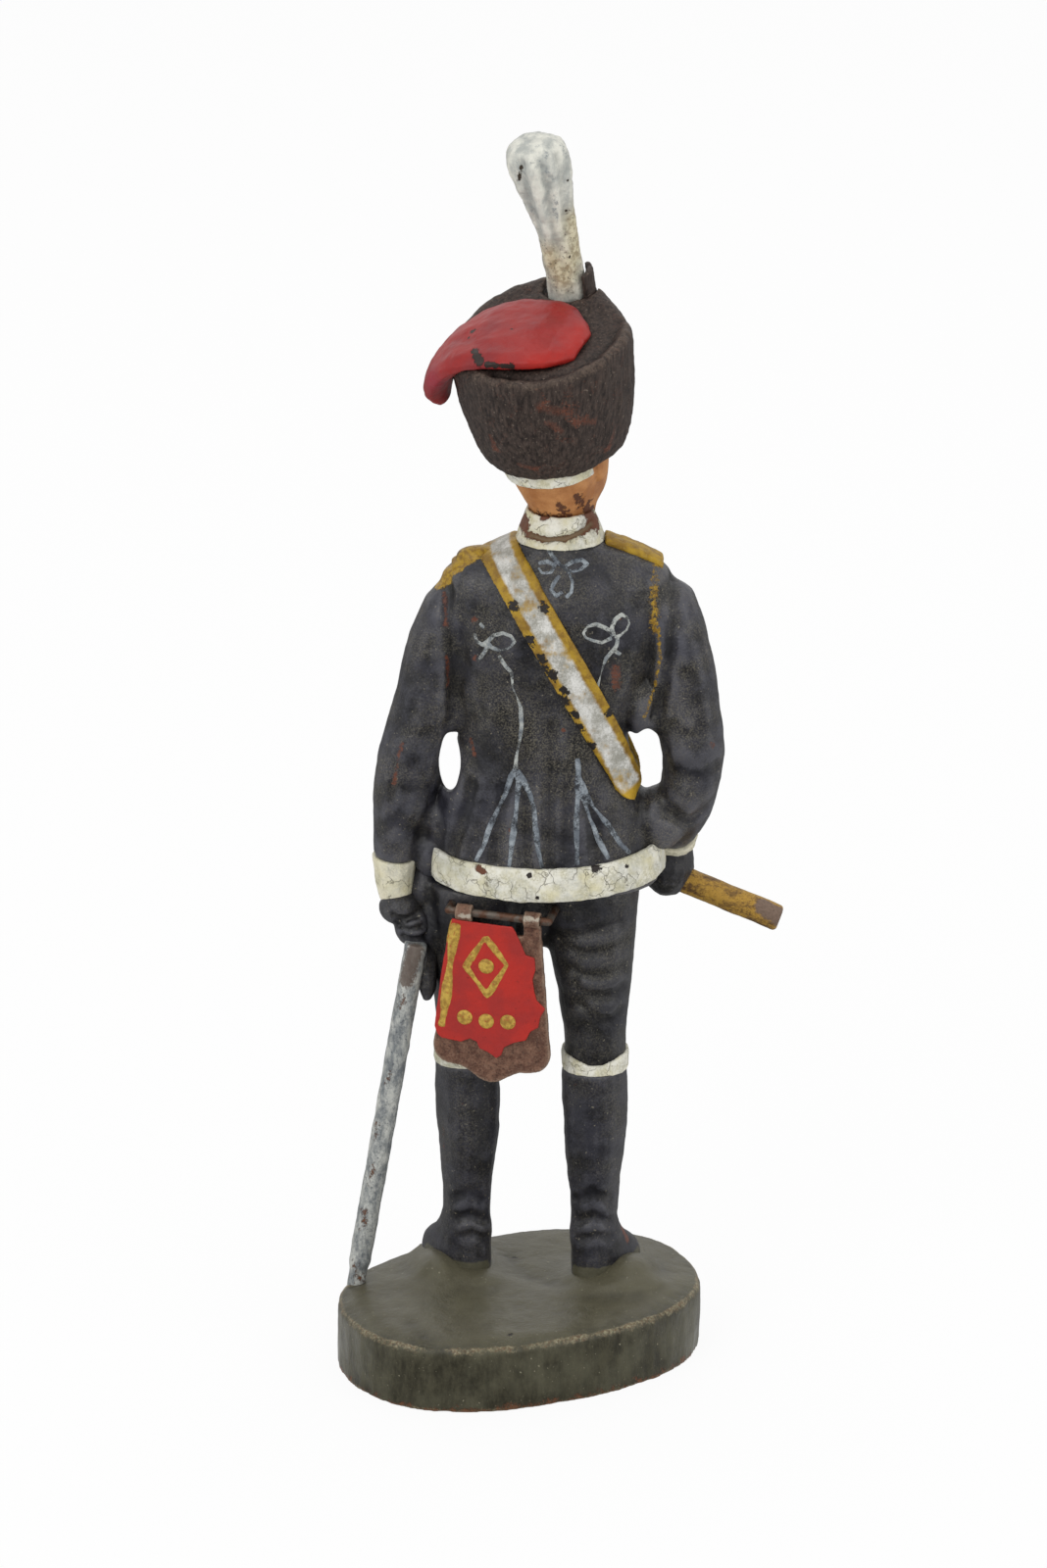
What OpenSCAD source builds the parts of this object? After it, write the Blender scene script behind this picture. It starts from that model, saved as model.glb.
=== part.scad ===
// Standing toy soldier in hussar dress, a figure of pressed composition on iron wires with tin fittings.
// The figure faces -Y, its left hand is on +X, and the base rests on Z = 0. Sizes are in millimetres.

/* [Base] */
// Long axis of the oval base
base_len = 27.5; // [25:0.5:32]
// Short axis of the oval base
base_w = 19.5; // [19:0.5:24]
// Height of the base
base_h = 5.3; // [4:0.1:7]
// Rounding of the base's upper edge
base_edge = 0.7; // [0.3:0.1:1.2]
// Turn of the base's long axis from the shoulder line, in degrees
base_turn = 24; // [10:1:35]
// Height of the mound that holds each foot
mound_h = 1.1; // [0.6:0.1:1.6]
// How far the mound spreads round each foot
mound_spread = 1; // [0.7:0.1:1.3]

/* [Legs] */
// Distance between the two ankles
stance = 9.4; // [9:0.1:10.4]
// How far the right foot stands behind the left
step_back = 1.5; // [0:0.1:2.5]
// Outward turn of each foot, in degrees
toe_out = 30; // [15:1:40]
// Length of the foot
foot_len = 7.2; // [6.6:0.1:7.8]
// Width of the foot
foot_w = 3.8; // [3.4:0.1:4.4]
// Height of the boot from sole to top
boot_h = 17.2; // [15:0.1:20]
// Width of the boot at the calf
calf_w = 4.4; // [4.1:0.1:4.8]
// Width of the boot at the ankle
ankle_w = 3.2; // [2.9:0.1:3.6]
// Height of the white band at the boot top
band_h = 1.3; // [1:0.1:1.8]
// Thickness of the white band
band_t = 0.2; // [0.1:0.05:0.35]
// Height of the breeches from boot top to jacket hem
breeches_h = 14.2; // [12:0.1:17]
// Width of one breeches leg at its top
thigh_w = 7.8; // [7.2:0.1:8.2]
// Front to back depth of the seat
seat_d = 7.2; // [6.4:0.1:7.6]
// Depth of the creases behind the knee
crease_d = 0.22; // [0:0.02:0.3]

/* [Jacket] */
// Height of the jacket from hem to collar
jacket_h = 25.9; // [23:0.1:29]
// Sideways shift of the neck from the middle of the feet
lean = -2.7; // [-3.4:0.1:-1.6]
// Width of the skirt at the hem
skirt_w = 16.3; // [15.6:0.1:17]
// Depth of the skirt at the hem
skirt_d = 9.8; // [9.2:0.1:11]
// Width of the waist
waist_w = 12.2; // [11.6:0.1:12.8]
// Depth of the waist
waist_d = 7.9; // [7:0.1:9]
// Width of the chest under the arms
chest_w = 14.4; // [13.6:0.1:15]
// Depth of the chest
chest_d = 9; // [8:0.1:10]
// Width across the shoulder points
shoulder_w = 16.6; // [15.8:0.1:17.4]
// Height of the white hem trim
hem_h = 2.4; // [2:0.1:3]
// Thickness of the white hem trim
hem_t = 0.45; // [0.2:0.05:0.7]
// Width of the pouch belt
belt_w = 2.2; // [1.8:0.1:2.4]
// Thickness of the pouch belt
belt_t = 0.32; // [0.15:0.01:0.5]
// Slope of the pouch belt from upright, in degrees
belt_slope = 27; // [24:1:30]
// Width of the shoulder cords
cord_w = 2.2; // [1.6:0.1:2.6]
// Thickness of the shoulder cords
cord_t = 0.35; // [0.2:0.01:0.5]
// Number of braid rows on the chest
braid_rows = 5; // [3:1:6]
// Height of one braid row
braid_h = 0.5; // [0.3:0.05:0.7]
// Thickness of the chest braid
braid_t = 0.22; // [0.1:0.01:0.3]

/* [Arms] */
// Length of an arm from shoulder to fingertip
arm_len = 31; // [29.5:0.1:32.5]
// Thickness of the sleeve at the upper arm
sleeve_w = 5.3; // [4.8:0.1:5.6]
// How far the cuffs stand proud of the sleeves
cuff_t = 0.2; // [0.1:0.05:0.3]

/* [Head] */
// Width of the head at the temples
head_w = 6.8; // [6.2:0.1:7.2]
// Depth of the head from forehead to back
head_d = 8.4; // [7.8:0.1:8.8]
// Width of the neck
neck_w = 4.8; // [4.4:0.1:5.2]
// Height of the head from chin to cap
face_h = 4.9; // [4.5:0.1:5.4]
// Height of the neck between collar foot and chin
neck_h = 3.4; // [3:0.1:3.8]
// Width of the standing collar
collar_w = 6.5; // [6.2:0.1:7]
// Height of the standing collar
collar_h = 2.2; // [1.7:0.1:2.6]
// Turn of the head to its right, in degrees
head_turn = 20; // [0:1:30]
// Backward tilt of the head, in degrees
head_tilt = 15; // [8:1:18]
// Sideways tilt of the head, in degrees
head_roll = 3; // [0:1:8]
// Thickness of the painted hair at the nape
nape_t = 0.2; // [0.1:0.05:0.3]

/* [Cap] */
// Height of the fur cap
cap_h = 9; // [8:0.1:10]
// Width of the fur cap at its top
cap_w = 12.9; // [12:0.1:13.6]
// Width of the fur cap at its lower edge
cap_low_w = 9.6; // [9:0.1:10.4]
// Thickness of the hanging cloth bag
bag_t = 2; // [1.4:0.1:2.6]
// Width of the bag on the cap's top
bag_w = 8.6; // [7.6:0.1:9.4]
// Height of the plume above its seat
plume_h = 13.6; // [11:0.1:16]
// Width of the plume near its tip
plume_w = 4.6; // [4:0.1:5.4]
// Width of the plume in its socket
plume_foot_w = 3; // [2.7:0.1:3.3]
// Wall of the plume socket
socket_t = 0.45; // [0.3:0.05:0.6]
// Height of the plume socket
socket_h = 1.1; // [0.8:0.1:1.6]
// Height of the curved tab beside the plume
tab_h = 3; // [2:0.1:3.6]

/* [Metalwork] */
// Length of the sabretache from hinge to point
pouch_h = 13; // [11:0.1:14]
// Width of the sabretache at its lower end
pouch_w = 8.7; // [7.8:0.1:9.4]
// Width of the sabretache at its hinge
pouch_top_w = 6.2; // [5.8:0.1:6.8]
// Thickness of the tin plate
plate_t = 0.45; // [0.3:0.05:0.6]
// Thickness of the painted facing on the plate
facing_t = 0.12; // [0.08:0.01:0.2]
// Width of bare plate left round the facing
facing_margin = 0.5; // [0.3:0.05:0.8]
// Sideways lean of the hanging sabretache, in degrees
pouch_lean = 2.7; // [0:0.1:5]
// Turn of the sabretache round the hip, in degrees
pouch_turn = 12; // [4:1:16]
// Diameter of the wire that the sabretache hangs on
pin_d = 0.6; // [0.5:0.02:0.7]
// Running clearance round that wire
pin_clear = 0.05; // [0.03:0.01:0.08]
// Wall of the rolled hinge eyes
eye_wall = 0.24; // [0.18:0.02:0.3]
// Diameter of the scabbard
scabbard_d = 1.6; // [1.4:0.05:1.8]
// Diameter of the baton
baton_d = 1.9; // [1.6:0.05:2.1]
// Length of the baton
baton_len = 10; // [9:0.1:11]

/* [Wires] */
// Diameter of the inner wires
wire_d = 0.9; // [0.7:0.05:1.1]
// Clearance round wires, rods and cut seats
seat_gap = 0.03; // [0.02:0.01:0.05]

/* [Hidden] */
$fn = 48;

// Sides of the lofted forms, and rings added between two rows of a table
base_sides = 40;
leg_sides = 18;
jacket_sides = 26;
arm_sides = 14;
head_sides = 24;
cap_sides = 28;
bag_sides = 14;
plume_sides = 24;
plain_steps = 2;

// Squareness of the lofted sections, where 2 is an ellipse
round_power = 2;
body_power = 2.3;
foot_power = 2.5;

// Overrun of every cut past the face that it leaves
cut = 0.5;
// A block larger than the whole figure
reach = 2 * (base_len + boot_h + breeches_h + jacket_h + cap_h + plume_h);

// Levels of the figure
sole_z = base_h;
boot_top_z = sole_z + boot_h;
hem_z = boot_top_z + breeches_h;
collar_z = hem_z + jacket_h;

// Places in plan
hip_x_share = 0.315;
hip_x = lean * hip_x_share;
body_y_share = -0.256;
body_y = skirt_d * body_y_share;
feet_y_share = -0.19;
feet_y = skirt_d * feet_y_share;

function leg_x(side) = hip_x + side * stance / 2;
function foot_y(side) = feet_y - side * step_back / 2;

// Forms: smooth tables, rings, skins and bands
function unit(v) = v / norm(v);
function squared(c, power) = sign(c) * pow(abs(c), 2 / power);

function between(rows, i, t) =
    let (
        before = rows[max(i - 1, 0)],
        here = rows[i],
        next = rows[i + 1],
        after = rows[min(i + 2, len(rows) - 1)]
    )
    (2 * here + (next - before) * t
        + (2 * before - 5 * here + 4 * next - after) * t * t
        + (3 * here - before - 3 * next + after) * t * t * t) / 2;

function smooth(rows, steps) = [
    for (i = [0:len(rows) - 2])
        for (k = [0:steps - 1])
            between(rows, i, k / steps),
    rows[len(rows) - 1]
];

// A level row is [x, y, z, half width, half depth, crease at the back]
function level_point(row, grow, power, a) = [
    row[0] + (row[3] + grow) * squared(cos(a), power),
    row[1] + (row[4] + grow) * squared(sin(a), power) + row[5] * pow(max(sin(a), 0), 2),
    row[2]
];

function level_ring(row, grow, sides, power) = [
    for (k = [0:sides - 1]) level_point(row, grow, power, 360 * k / sides)
];

function level_rings(rows, grow, sides, power) = [
    for (row = rows) level_ring(row, grow, sides, power)
];

// A path row is [x, y, z, half width across, half width front to back]
function heading(rows, i) =
    unit([for (k = [0:2]) rows[min(i + 1, len(rows) - 1)][k] - rows[max(i - 1, 0)][k]]);

function path_ring(rows, i, grow, sides) =
    let (
        along = heading(rows, i),
        back = [0, 1, 0],
        deep = unit(back - (back * along) * along),
        wide = cross(deep, along),
        centre = [for (k = [0:2]) rows[i][k]]
    )
    [
        for (k = [0:sides - 1])
            centre + (rows[i][3] + grow) * cos(360 * k / sides) * wide
                + (rows[i][4] + grow) * sin(360 * k / sides) * deep
    ];

function path_rings(rows, from, to, grow, sides) = [
    for (i = [from:to]) path_ring(rows, i, grow, sides)
];

function quads(m, n, wrap, first) = [
    for (i = [0:m - 2])
        for (k = [0:n - (wrap ? 1 : 2)])
            let (
                a = first + i * n + k,
                b = first + i * n + (k + 1) % n
            )
            each [[a, a + n, b + n], [a, b + n, b]]
];

function reversed(faces) = [for (f = faces) [f[0], f[2], f[1]]];

function strip(list_a, list_b) = [
    for (k = [0:len(list_a) - 2])
        each [
            [list_a[k], list_a[k + 1], list_b[k + 1]],
            [list_a[k], list_b[k + 1], list_b[k]]
        ]
];

// A solid skin over a stack of rings
module skin(rings) {
    m = len(rings);
    n = len(rings[0]);
    low = [for (k = [0:n - 1]) k];
    high = [for (k = [n - 1:-1:0]) (m - 1) * n + k];
    polyhedron([for (r = rings) each r], concat([low], quads(m, n, true, 0), [high]));
}

// A layer between an outer and an inner grid of points, closed round when wrap is true
module layer(outer, inner, wrap) {
    m = len(outer);
    n = len(outer[0]);
    size = m * n;
    round = [for (k = [0:n - (wrap ? 0 : 1)]) k % n];
    rise = [for (i = [0:m - 1]) i * n];
    low = strip(round, [for (k = round) k + size]);
    high = strip([for (k = round) k + size + size - n], [for (k = round) k + size - n]);
    near = strip([for (k = rise) k + size], rise);
    far = strip([for (k = rise) k + n - 1], [for (k = rise) k + size + n - 1]);
    points = concat([for (r = outer) each r], [for (r = inner) each r]);
    walls = concat(quads(m, n, wrap, 0), reversed(quads(m, n, wrap, size)), low, high);
    polyhedron(points, wrap ? walls : concat(walls, near, far));
}

// A round rod between two points
module rod(from, to, d) {
    v = to - from;
    translate(from)
        rotate([0, acos(v[2] / norm(v)), atan2(v[1], v[0])])
            cylinder(d = d, h = norm(v));
}

// Base
scabbard_foot_shares = [0.88, -0.05];
scabbard_foot = [
    base_len * scabbard_foot_shares[0] / 2,
    base_w * scabbard_foot_shares[1],
    base_h
];
base_outline = level_ring([0, 0, 0, base_len / 2, base_w / 2, 0], 0, base_sides, body_power);

// Boots: [height, forward, half width, half length], in shares of boot_h, foot_len and the widths
boot_foot_shares = [
    [0, 0.25, 0.46, 0.48],
    [0.04, 0.25, 0.5, 0.5],
    [0.1, 0.22, 0.49, 0.47],
    [0.155, 0.13, 0.46, 0.375],
    [0.21, 0.05, 0.45, 0.3]
];
// Shaft: [height, share from ankle to calf]
boot_shaft_shares = [[0.3, 0], [0.43, 0.15], [0.6, 0.66], [0.78, 1], [0.92, 0.98], [1, 0.94]];
shaft_depth_share = 1.06;
function boot_rows() = concat(
    [for (s = boot_foot_shares) [0, -foot_len * s[1], boot_h * s[0], foot_w * s[2], foot_len * s[3], 0]],
    [
        for (s = boot_shaft_shares)
            let (r = (ankle_w + (calf_w - ankle_w) * s[1]) / 2)
            [0, 0, boot_h * s[0], r, r * shaft_depth_share, 0]
    ]
);
foot_ring_count = len(boot_foot_shares) * plain_steps;

module at_foot(side) {
    translate([leg_x(side), foot_y(side), sole_z])
        rotate(side * toe_out)
            children();
}

module boot_form(side, grow, last) {
    rings = level_rings(smooth(boot_rows(), plain_steps), grow, leg_sides, foot_power);
    at_foot(side) skin([for (i = [0:min(last, len(rings) - 1)]) rings[i]]);
}

mound_shares = [[-0.25, 1], [0.1, 0.85], [0.45, 0.5], [0.8, 0.25], [1, 0.12]];
module mound(side) {
    foot = boot_rows()[1];
    rows = [for (s = mound_shares) [foot[0], foot[1], mound_h * s[0], foot[3], foot[4], 0]];
    at_foot(side)
        skin([
            for (i = [0:len(rows) - 1])
                level_ring(rows[i], mound_spread * mound_shares[i][1], leg_sides, foot_power)
        ]);
}

// Breeches: [height, share from ankle line to hip line, share from calf to thigh, depth share, crease]
breeches_shares = [
    [0, 0, 0, 0.61, 0],
    [0.12, 0.02, 0, 0.62, 0],
    [0.2, 0.04, 0.03, 0.64, 0.4],
    [0.28, 0.07, 0.1, 0.67, -0.6],
    [0.36, 0.12, 0.19, 0.71, 1],
    [0.43, 0.18, 0.26, 0.75, -0.7],
    [0.5, 0.25, 0.35, 0.79, 0.8],
    [0.57, 0.34, 0.44, 0.84, -0.2],
    [0.75, 0.6, 0.7, 0.94, 0],
    [0.9, 0.88, 0.92, 1, 0],
    [1, 1, 1, 0.99, 0]
];
hip_half_share = 0.48;
hip_shift_share = 0.1;
function hip_line(side) = hip_x + lean * hip_shift_share + side * thigh_w * hip_half_share;
function breeches_rows(side) = [
    for (s = breeches_shares)
        let (r = (calf_w + (thigh_w - calf_w) * s[2]) / 2)
        [
            leg_x(side) + (hip_line(side) - leg_x(side)) * s[1],
            foot_y(side) + (body_y - foot_y(side)) * s[1],
            boot_top_z + breeches_h * s[0],
            r,
            seat_d * s[3] / 2,
            crease_d * s[4]
        ]
];
module leg_form(side, grow) {
    skin(level_rings(smooth(breeches_rows(side), plain_steps), grow, leg_sides, body_power));
}

// Boot bands, with a notch at the back of the upper edge
band_notch_share = 0.45;
band_levels_shares = [0, 1];
function leg_row_at(side, z) =
    let (rows = smooth(breeches_rows(side), plain_steps))
    [for (c = [0:5]) lookup(z, [for (r = rows) [r[2], r[c]]])];
function band_grid(side, grow) = [
    for (s = band_levels_shares)
        [
            for (k = [0:leg_sides - 1])
                let (
                    a = 360 * k / leg_sides,
                    dip = band_notch_share * pow(max(sin(a), 0), 6),
                    z = boot_top_z + band_h * s * (1 - dip)
                )
                level_point(leg_row_at(side, z), grow, body_power, a)
        ]
];

// Jacket: [height, lean, half width, half depth], where widths are picked from the named sizes
jacket_rows = [
    jacket_row(0, 0.68, skirt_w, 1, skirt_d, 1),
    jacket_row(0.1, 0.54, skirt_w, 0.975, skirt_d, 0.985),
    jacket_row(0.2, 0.43, skirt_w, 0.945, (skirt_d + waist_d) / 2, 1),
    jacket_row(0.3, 0.34, (skirt_w + waist_w) / 2, 0.99, waist_d, 1.05),
    jacket_row(0.37, 0.4, waist_w, 1.05, waist_d, 1),
    jacket_row(0.44, 0.49, waist_w, 0.99, waist_d, 1),
    jacket_row(0.51, 0.6, waist_w, 1.02, waist_d, 1.04),
    jacket_row(0.59, 0.72, chest_w, 0.965, chest_d, 0.95),
    jacket_row(0.7, 0.88, chest_w, 1, chest_d, 1),
    jacket_row(0.8, 0.97, (chest_w + shoulder_w) / 2, 0.98, chest_d, 0.96),
    jacket_row(0.87, 1, shoulder_w, 0.99, chest_d, 0.86),
    jacket_row(0.91, 1.02, shoulder_w, 0.97, chest_d, 0.76),
    jacket_row(0.94, 1.05, shoulder_w, 0.82, chest_d, 0.67),
    jacket_row(0.97, 1.09, shoulder_w, 0.6, chest_d, 0.6),
    jacket_row(0.99, 1.11, shoulder_w, 0.43, chest_d, 0.555),
    jacket_row(1, 1.12, collar_w, 0.97, collar_w, 0.74)
];
function jacket_row(h_share, lean_share, w, w_share, d, d_share) = [
    hip_x + (lean - hip_x) * lean_share,
    body_y,
    hem_z + jacket_h * h_share,
    w * w_share / 2,
    d * d_share / 2,
    0
];
jacket_smooth = smooth(jacket_rows, plain_steps);
function jacket_row_at(z) = [for (c = [0:5]) lookup(z, [for (r = jacket_smooth) [r[2], r[c]]])];
function jacket_point(a, z, grow) = level_point(jacket_row_at(z), grow, body_power, a);
module jacket_form(grow, first, last) {
    rings = level_rings(jacket_smooth, grow, jacket_sides, body_power);
    skin([for (i = [first:min(last, len(rings) - 1)]) rings[i]]);
}
armhole_low_row = 2;
armhole_high_row = 13;
neck_x = jacket_rows[len(jacket_rows) - 1][0];

// Hem trim: [height, share of the full thickness]
hem_shares = [[0, 0.75], [0.25, 1], [0.75, 1], [1, 0.65]];
hem_sides = 36;
function hem_grid(full) = [
    for (s = hem_shares)
        [
            for (k = [0:hem_sides - 1])
                jacket_point(360 * k / hem_sides, hem_z + hem_h * s[0], seat_gap + full * hem_t * s[1])
        ]
];

// Pouch belt: a strip between two slanting planes, found on the jacket by halving
belt_top_share = 0.976;
belt_offset_share = 1.226;
belt_offset = collar_w / 2 * belt_offset_share;
belt_sides = 3 * jacket_sides;
belt_edges_shares = [-0.5, 0, 0.5];
belt_gap = 5 * seat_gap;
halvings = 16;
// The slope holds at this proportion of the belt's run across to the jacket's height, and follows both
belt_proportion_share = 0.4685;
belt_angle = atan(tan(belt_slope) * (belt_offset + skirt_w / 2) / (jacket_h * belt_proportion_share));
function belt_side_of(p, shift) =
    p[0] - (neck_x + belt_offset)
        - (p[2] - hem_z - jacket_h * belt_top_share) * tan(belt_angle) - shift / cos(belt_angle);
// The belt keeps its width where it runs level under the right arm
function belt_narrow(a) = 1 - (1 - sin(belt_angle)) * pow(max(-cos(a), 0), 2);
function belt_z(a, shift, low, high, rounds) =
    let (z = (low + high) / 2)
    rounds == 0 ? z
        : belt_side_of(jacket_point(a, z, 0), shift) > 0 ? belt_z(a, shift, z, high, rounds - 1)
        : belt_z(a, shift, low, z, rounds - 1);
function belt_grid(grow) = [
    for (s = belt_edges_shares)
        [
            for (k = [0:belt_sides - 1])
                let (
                    a = 360 * k / belt_sides,
                    shift = -belt_w * s * belt_narrow(a)
                )
                jacket_point(a, belt_z(a, shift, hem_z + hem_h, collar_z, halvings), grow)
        ]
];

// Shoulder cords: strips along the shoulder slope, found on the jacket by halving
left_cord_clear_share = 1.45;
right_cord_clear_share = 1.073;
cord_to_share = 0.9;
function cord_from(side) =
    side > 0 ? belt_offset + belt_w / 2 * left_cord_clear_share + belt_gap
        : collar_w / 2 * right_cord_clear_share;
function cord_to() = shoulder_w / 2 * cord_to_share;
cord_level_share = 0.91;
cord_x = jacket_row_at(hem_z + jacket_h * cord_level_share)[0];
cord_columns = 8;
cord_rows_count = 4;
function top_inside(x, y, z) =
    let (r = jacket_row_at(z))
    pow(abs(x - r[0]) / r[3], body_power) + pow(abs(y - r[1]) / r[4], body_power) < 1;
function top_z(x, y, low, high, rounds) =
    let (z = (low + high) / 2)
    rounds == 0 ? z
        : top_inside(x, y, z) ? top_z(x, y, z, high, rounds - 1)
        : top_z(x, y, low, z, rounds - 1);
cord_low_share = 0.8;
function cord_grid(side, rise) = [
    for (i = [0:cord_rows_count])
        [
            for (k = [0:cord_columns])
                let (
                    t = side > 0 ? k / cord_columns : 1 - k / cord_columns,
                    x = cord_x + side * (cord_from(side) + (cord_to() - cord_from(side)) * t),
                    y = body_y + cord_w * (i / cord_rows_count - 1 / 2),
                    z = top_z(x, y, hem_z + jacket_h * cord_low_share, collar_z, halvings)
                )
                [x, y, z + rise]
        ]
];

// Chest braid: rows across the front of the jacket
braid_low_share = 0.36;
braid_high_share = 0.82;
braid_from = 215;
braid_to = 325;
braid_columns = 18;
function braid_grid(z, grow) = [
    for (s = [0, 1])
        [
            for (k = [0:braid_columns])
                jacket_point(braid_from + (braid_to - braid_from) * k / braid_columns, z + braid_h * s, grow)
        ]
];

// Arms: [across, back, up] in shares of arm_len, then half widths in shares of sleeve_w
arm_root_share = 0.72;
arm_level_share = 0.83;
left_arm_shares = [
    [0, 0, 0, 0.43, 0.43],
    [0.04, 0, -0.039, 0.48, 0.48],
    [0.08, 0.003, -0.148, 0.47, 0.47],
    [0.112, 0.01, -0.268, 0.45, 0.453],
    [0.145, 0.016, -0.381, 0.443, 0.45],
    [0.166, 0.016, -0.49, 0.415, 0.42],
    [0.186, 0.01, -0.635, 0.275, 0.34],
    [0.182, 0.006, -0.735, 0.195, 0.27],
    [0.16, 0.013, -0.784, 0.217, 0.3],
    [0.13, 0.04, -0.85, 0.15, 0.26],
    [0.114, 0.055, -0.925, 0.1, 0.18],
    [0.11, 0.062, -0.978, 0.055, 0.1]
];
left_cuff_row = 6;
right_arm_shares = [
    [0, 0, 0, 0.43, 0.43],
    [-0.05, 0, -0.032, 0.49, 0.49],
    [-0.085, 0.01, -0.135, 0.48, 0.48],
    [-0.111, 0.026, -0.265, 0.453, 0.453],
    [-0.1245, 0.032, -0.374, 0.415, 0.43],
    [-0.115, 0.01, -0.477, 0.39, 0.4],
    [-0.095, -0.048, -0.561, 0.358, 0.358],
    [-0.084, -0.09, -0.613, 0.311, 0.311],
    [-0.079, -0.11, -0.652, 0.292, 0.292],
    [-0.074, -0.11, -0.71, 0.35, 0.35],
    [-0.073, -0.094, -0.752, 0.28, 0.28],
    [-0.073, -0.084, -0.771, 0.11, 0.11]
];
right_cuff_row = 7;
function arm_root(side) = [
    jacket_row_at(hem_z + jacket_h * arm_level_share)[0] + side * arm_root_share * shoulder_w / 2,
    body_y,
    hem_z + jacket_h * arm_level_share
];
// The cuffs keep beside the skirt, the left hand beside the thigh, and the right fist at the hem's level
hip_reach_share = 0.733;
thigh_reach_share = 0.6949;
fist_level_share = -0.21;
fist_row = 9;
function hip_drift(side) = [
    side * (skirt_w * hip_reach_share - shoulder_w * arm_root_share) / 2,
    0,
    side > 0 ? 0
        : hem_z + hem_h * fist_level_share - arm_root(side)[2] - arm_len * right_arm_shares[fist_row][2]
];
function hand_drift(side) =
    side > 0 ? [((stance + thigh_w) * thigh_reach_share - shoulder_w * arm_root_share) / 2, 0, 0]
        : hip_drift(side);
function arm_rows(side) =
    let (
        root = arm_root(side),
        shares = side > 0 ? left_arm_shares : right_arm_shares,
        cuff_row = side > 0 ? left_cuff_row : right_cuff_row
    )
    smooth([
        for (i = [0:len(shares) - 1])
            let (
                s = shares[i],
                down = min(s[2] / shares[cuff_row][2], 1),
                drift = i > cuff_row + 1 ? hand_drift(side) : hip_drift(side) * down
            )
            [each root + arm_len * [s[0], s[1], s[2]] + drift, sleeve_w * s[3], sleeve_w * s[4]]
    ], plain_steps);
function cuff_start(side) = plain_steps * (side > 0 ? left_cuff_row : right_cuff_row);
function cuff_end(side) = cuff_start(side) + plain_steps;
module arm_piece(side, from, to, grow) {
    skin(path_rings(arm_rows(side), from, to, grow, arm_sides));
}
right_room_row = 5;
module right_arm_room() {
    arm_piece(-1, right_room_row * plain_steps, len(arm_rows(-1)) - 1, cuff_t + seat_gap);
}
function arm_spot(side, row) = [for (k = [0:2]) arm_rows(side)[row * plain_steps][k]];

// Scabbard from the left palm to the base, baton out of the right fist
palm_row = 9;
palm_shift_shares = [0.03, 0.24, 0.12];
scabbard_top = arm_spot(1, palm_row) + sleeve_w * palm_shift_shares;
scabbard_sink_share = 0.25;
scabbard_along = unit(scabbard_top - scabbard_foot);
scabbard_end = scabbard_foot - scabbard_along * base_h * scabbard_sink_share;
scabbard_len = norm(scabbard_top - scabbard_end);
scabbard_tip_share = 0.8;
baton_heading = unit([-0.926, 0.13, -0.355]);
baton_inner_share = 0.12;
fist_shift_shares = [0, 0, -0.1];
baton_start = arm_spot(-1, fist_row) + sleeve_w * fist_shift_shares
    - baton_heading * baton_len * baton_inner_share;
baton_end = baton_start + baton_heading * baton_len;
baton_edge_share = 0.08;

// Head and cap, in a frame of their own at the jaw
pivot_back_share = -0.11;
pivot_side_share = -0.04;
jaw_share = 0.83;
head_pivot = [
    neck_x + head_w * pivot_side_share,
    body_y + head_d * pivot_back_share,
    collar_z + neck_h * jaw_share
];
cap_z = face_h - neck_h * (1 - jaw_share);
module in_head_frame() {
    translate(head_pivot)
        rotate([-head_tilt, head_roll, -head_turn])
            children();
}
// Rows of [height above or below the jaw, back, width share, depth share]
neck_shares = [[-1, 0.17], [-0.5, 0.145]];
face_shares = [
    [-0.12, 0.09, 0.735, 0.7],
    [0.04, -0.01, 0.81, 0.87],
    [0.26, -0.02, 0.9, 0.95],
    [0.52, -0.01, 0.97, 0.99],
    [0.8, 0, 1, 1],
    [1, 0, 1, 1]
];
head_rows = concat(
    [for (s = neck_shares) [0, head_d * s[1], neck_h * s[0], neck_w / 2, neck_w / 2, 0]],
    [for (s = face_shares) [0, head_d * s[1], cap_z * s[0], head_w * s[2] / 2, head_d * s[3] / 2, 0]]
);
jaw_row = len(neck_shares) + 2;
head_smooth = smooth(head_rows, plain_steps);
module head_form(grow, first, last) {
    rings = level_rings(head_smooth, grow, head_sides, body_power);
    skin([for (i = [first:min(last, len(rings) - 1)]) rings[i]]);
}
function head_row_at(z) = [for (c = [0:5]) lookup(z, [for (r = head_smooth) [r[2], r[c]]])];

// Nose: [height, forward, half width, half depth] in shares of cap_z, head_d and head_w
nose_shares = [
    [0.42, 0.47, 0.06, 0.04], [0.47, 0.5, 0.12, 0.07], [0.56, 0.5, 0.1, 0.06], [0.86, 0.46, 0.05, 0.03]
];
// Ears: [height, half width, half depth]
ear_shares = [
    [0.45, 0.02, 0.05], [0.55, 0.05, 0.09], [0.72, 0.06, 0.12], [0.86, 0.05, 0.11], [0.92, 0.02, 0.06]
];
ear_x_share = 0.5;
ear_y_share = 0.06;
feature_sides = 10;

// Hair at the nape
nape_low_share = 0.76;
nape_from = 24;
nape_to = 156;
nape_columns = 20;
nape_levels = 2;
function nape_grid(grow) = [
    for (i = [0:nape_levels])
        [
            for (k = [0:nape_columns])
                level_point(
                    head_row_at(cap_z * (nape_low_share + (1 - nape_low_share) * i / nape_levels)),
                    grow, body_power, nape_from + (nape_to - nape_from) * k / nape_columns
                )
        ]
];

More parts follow.
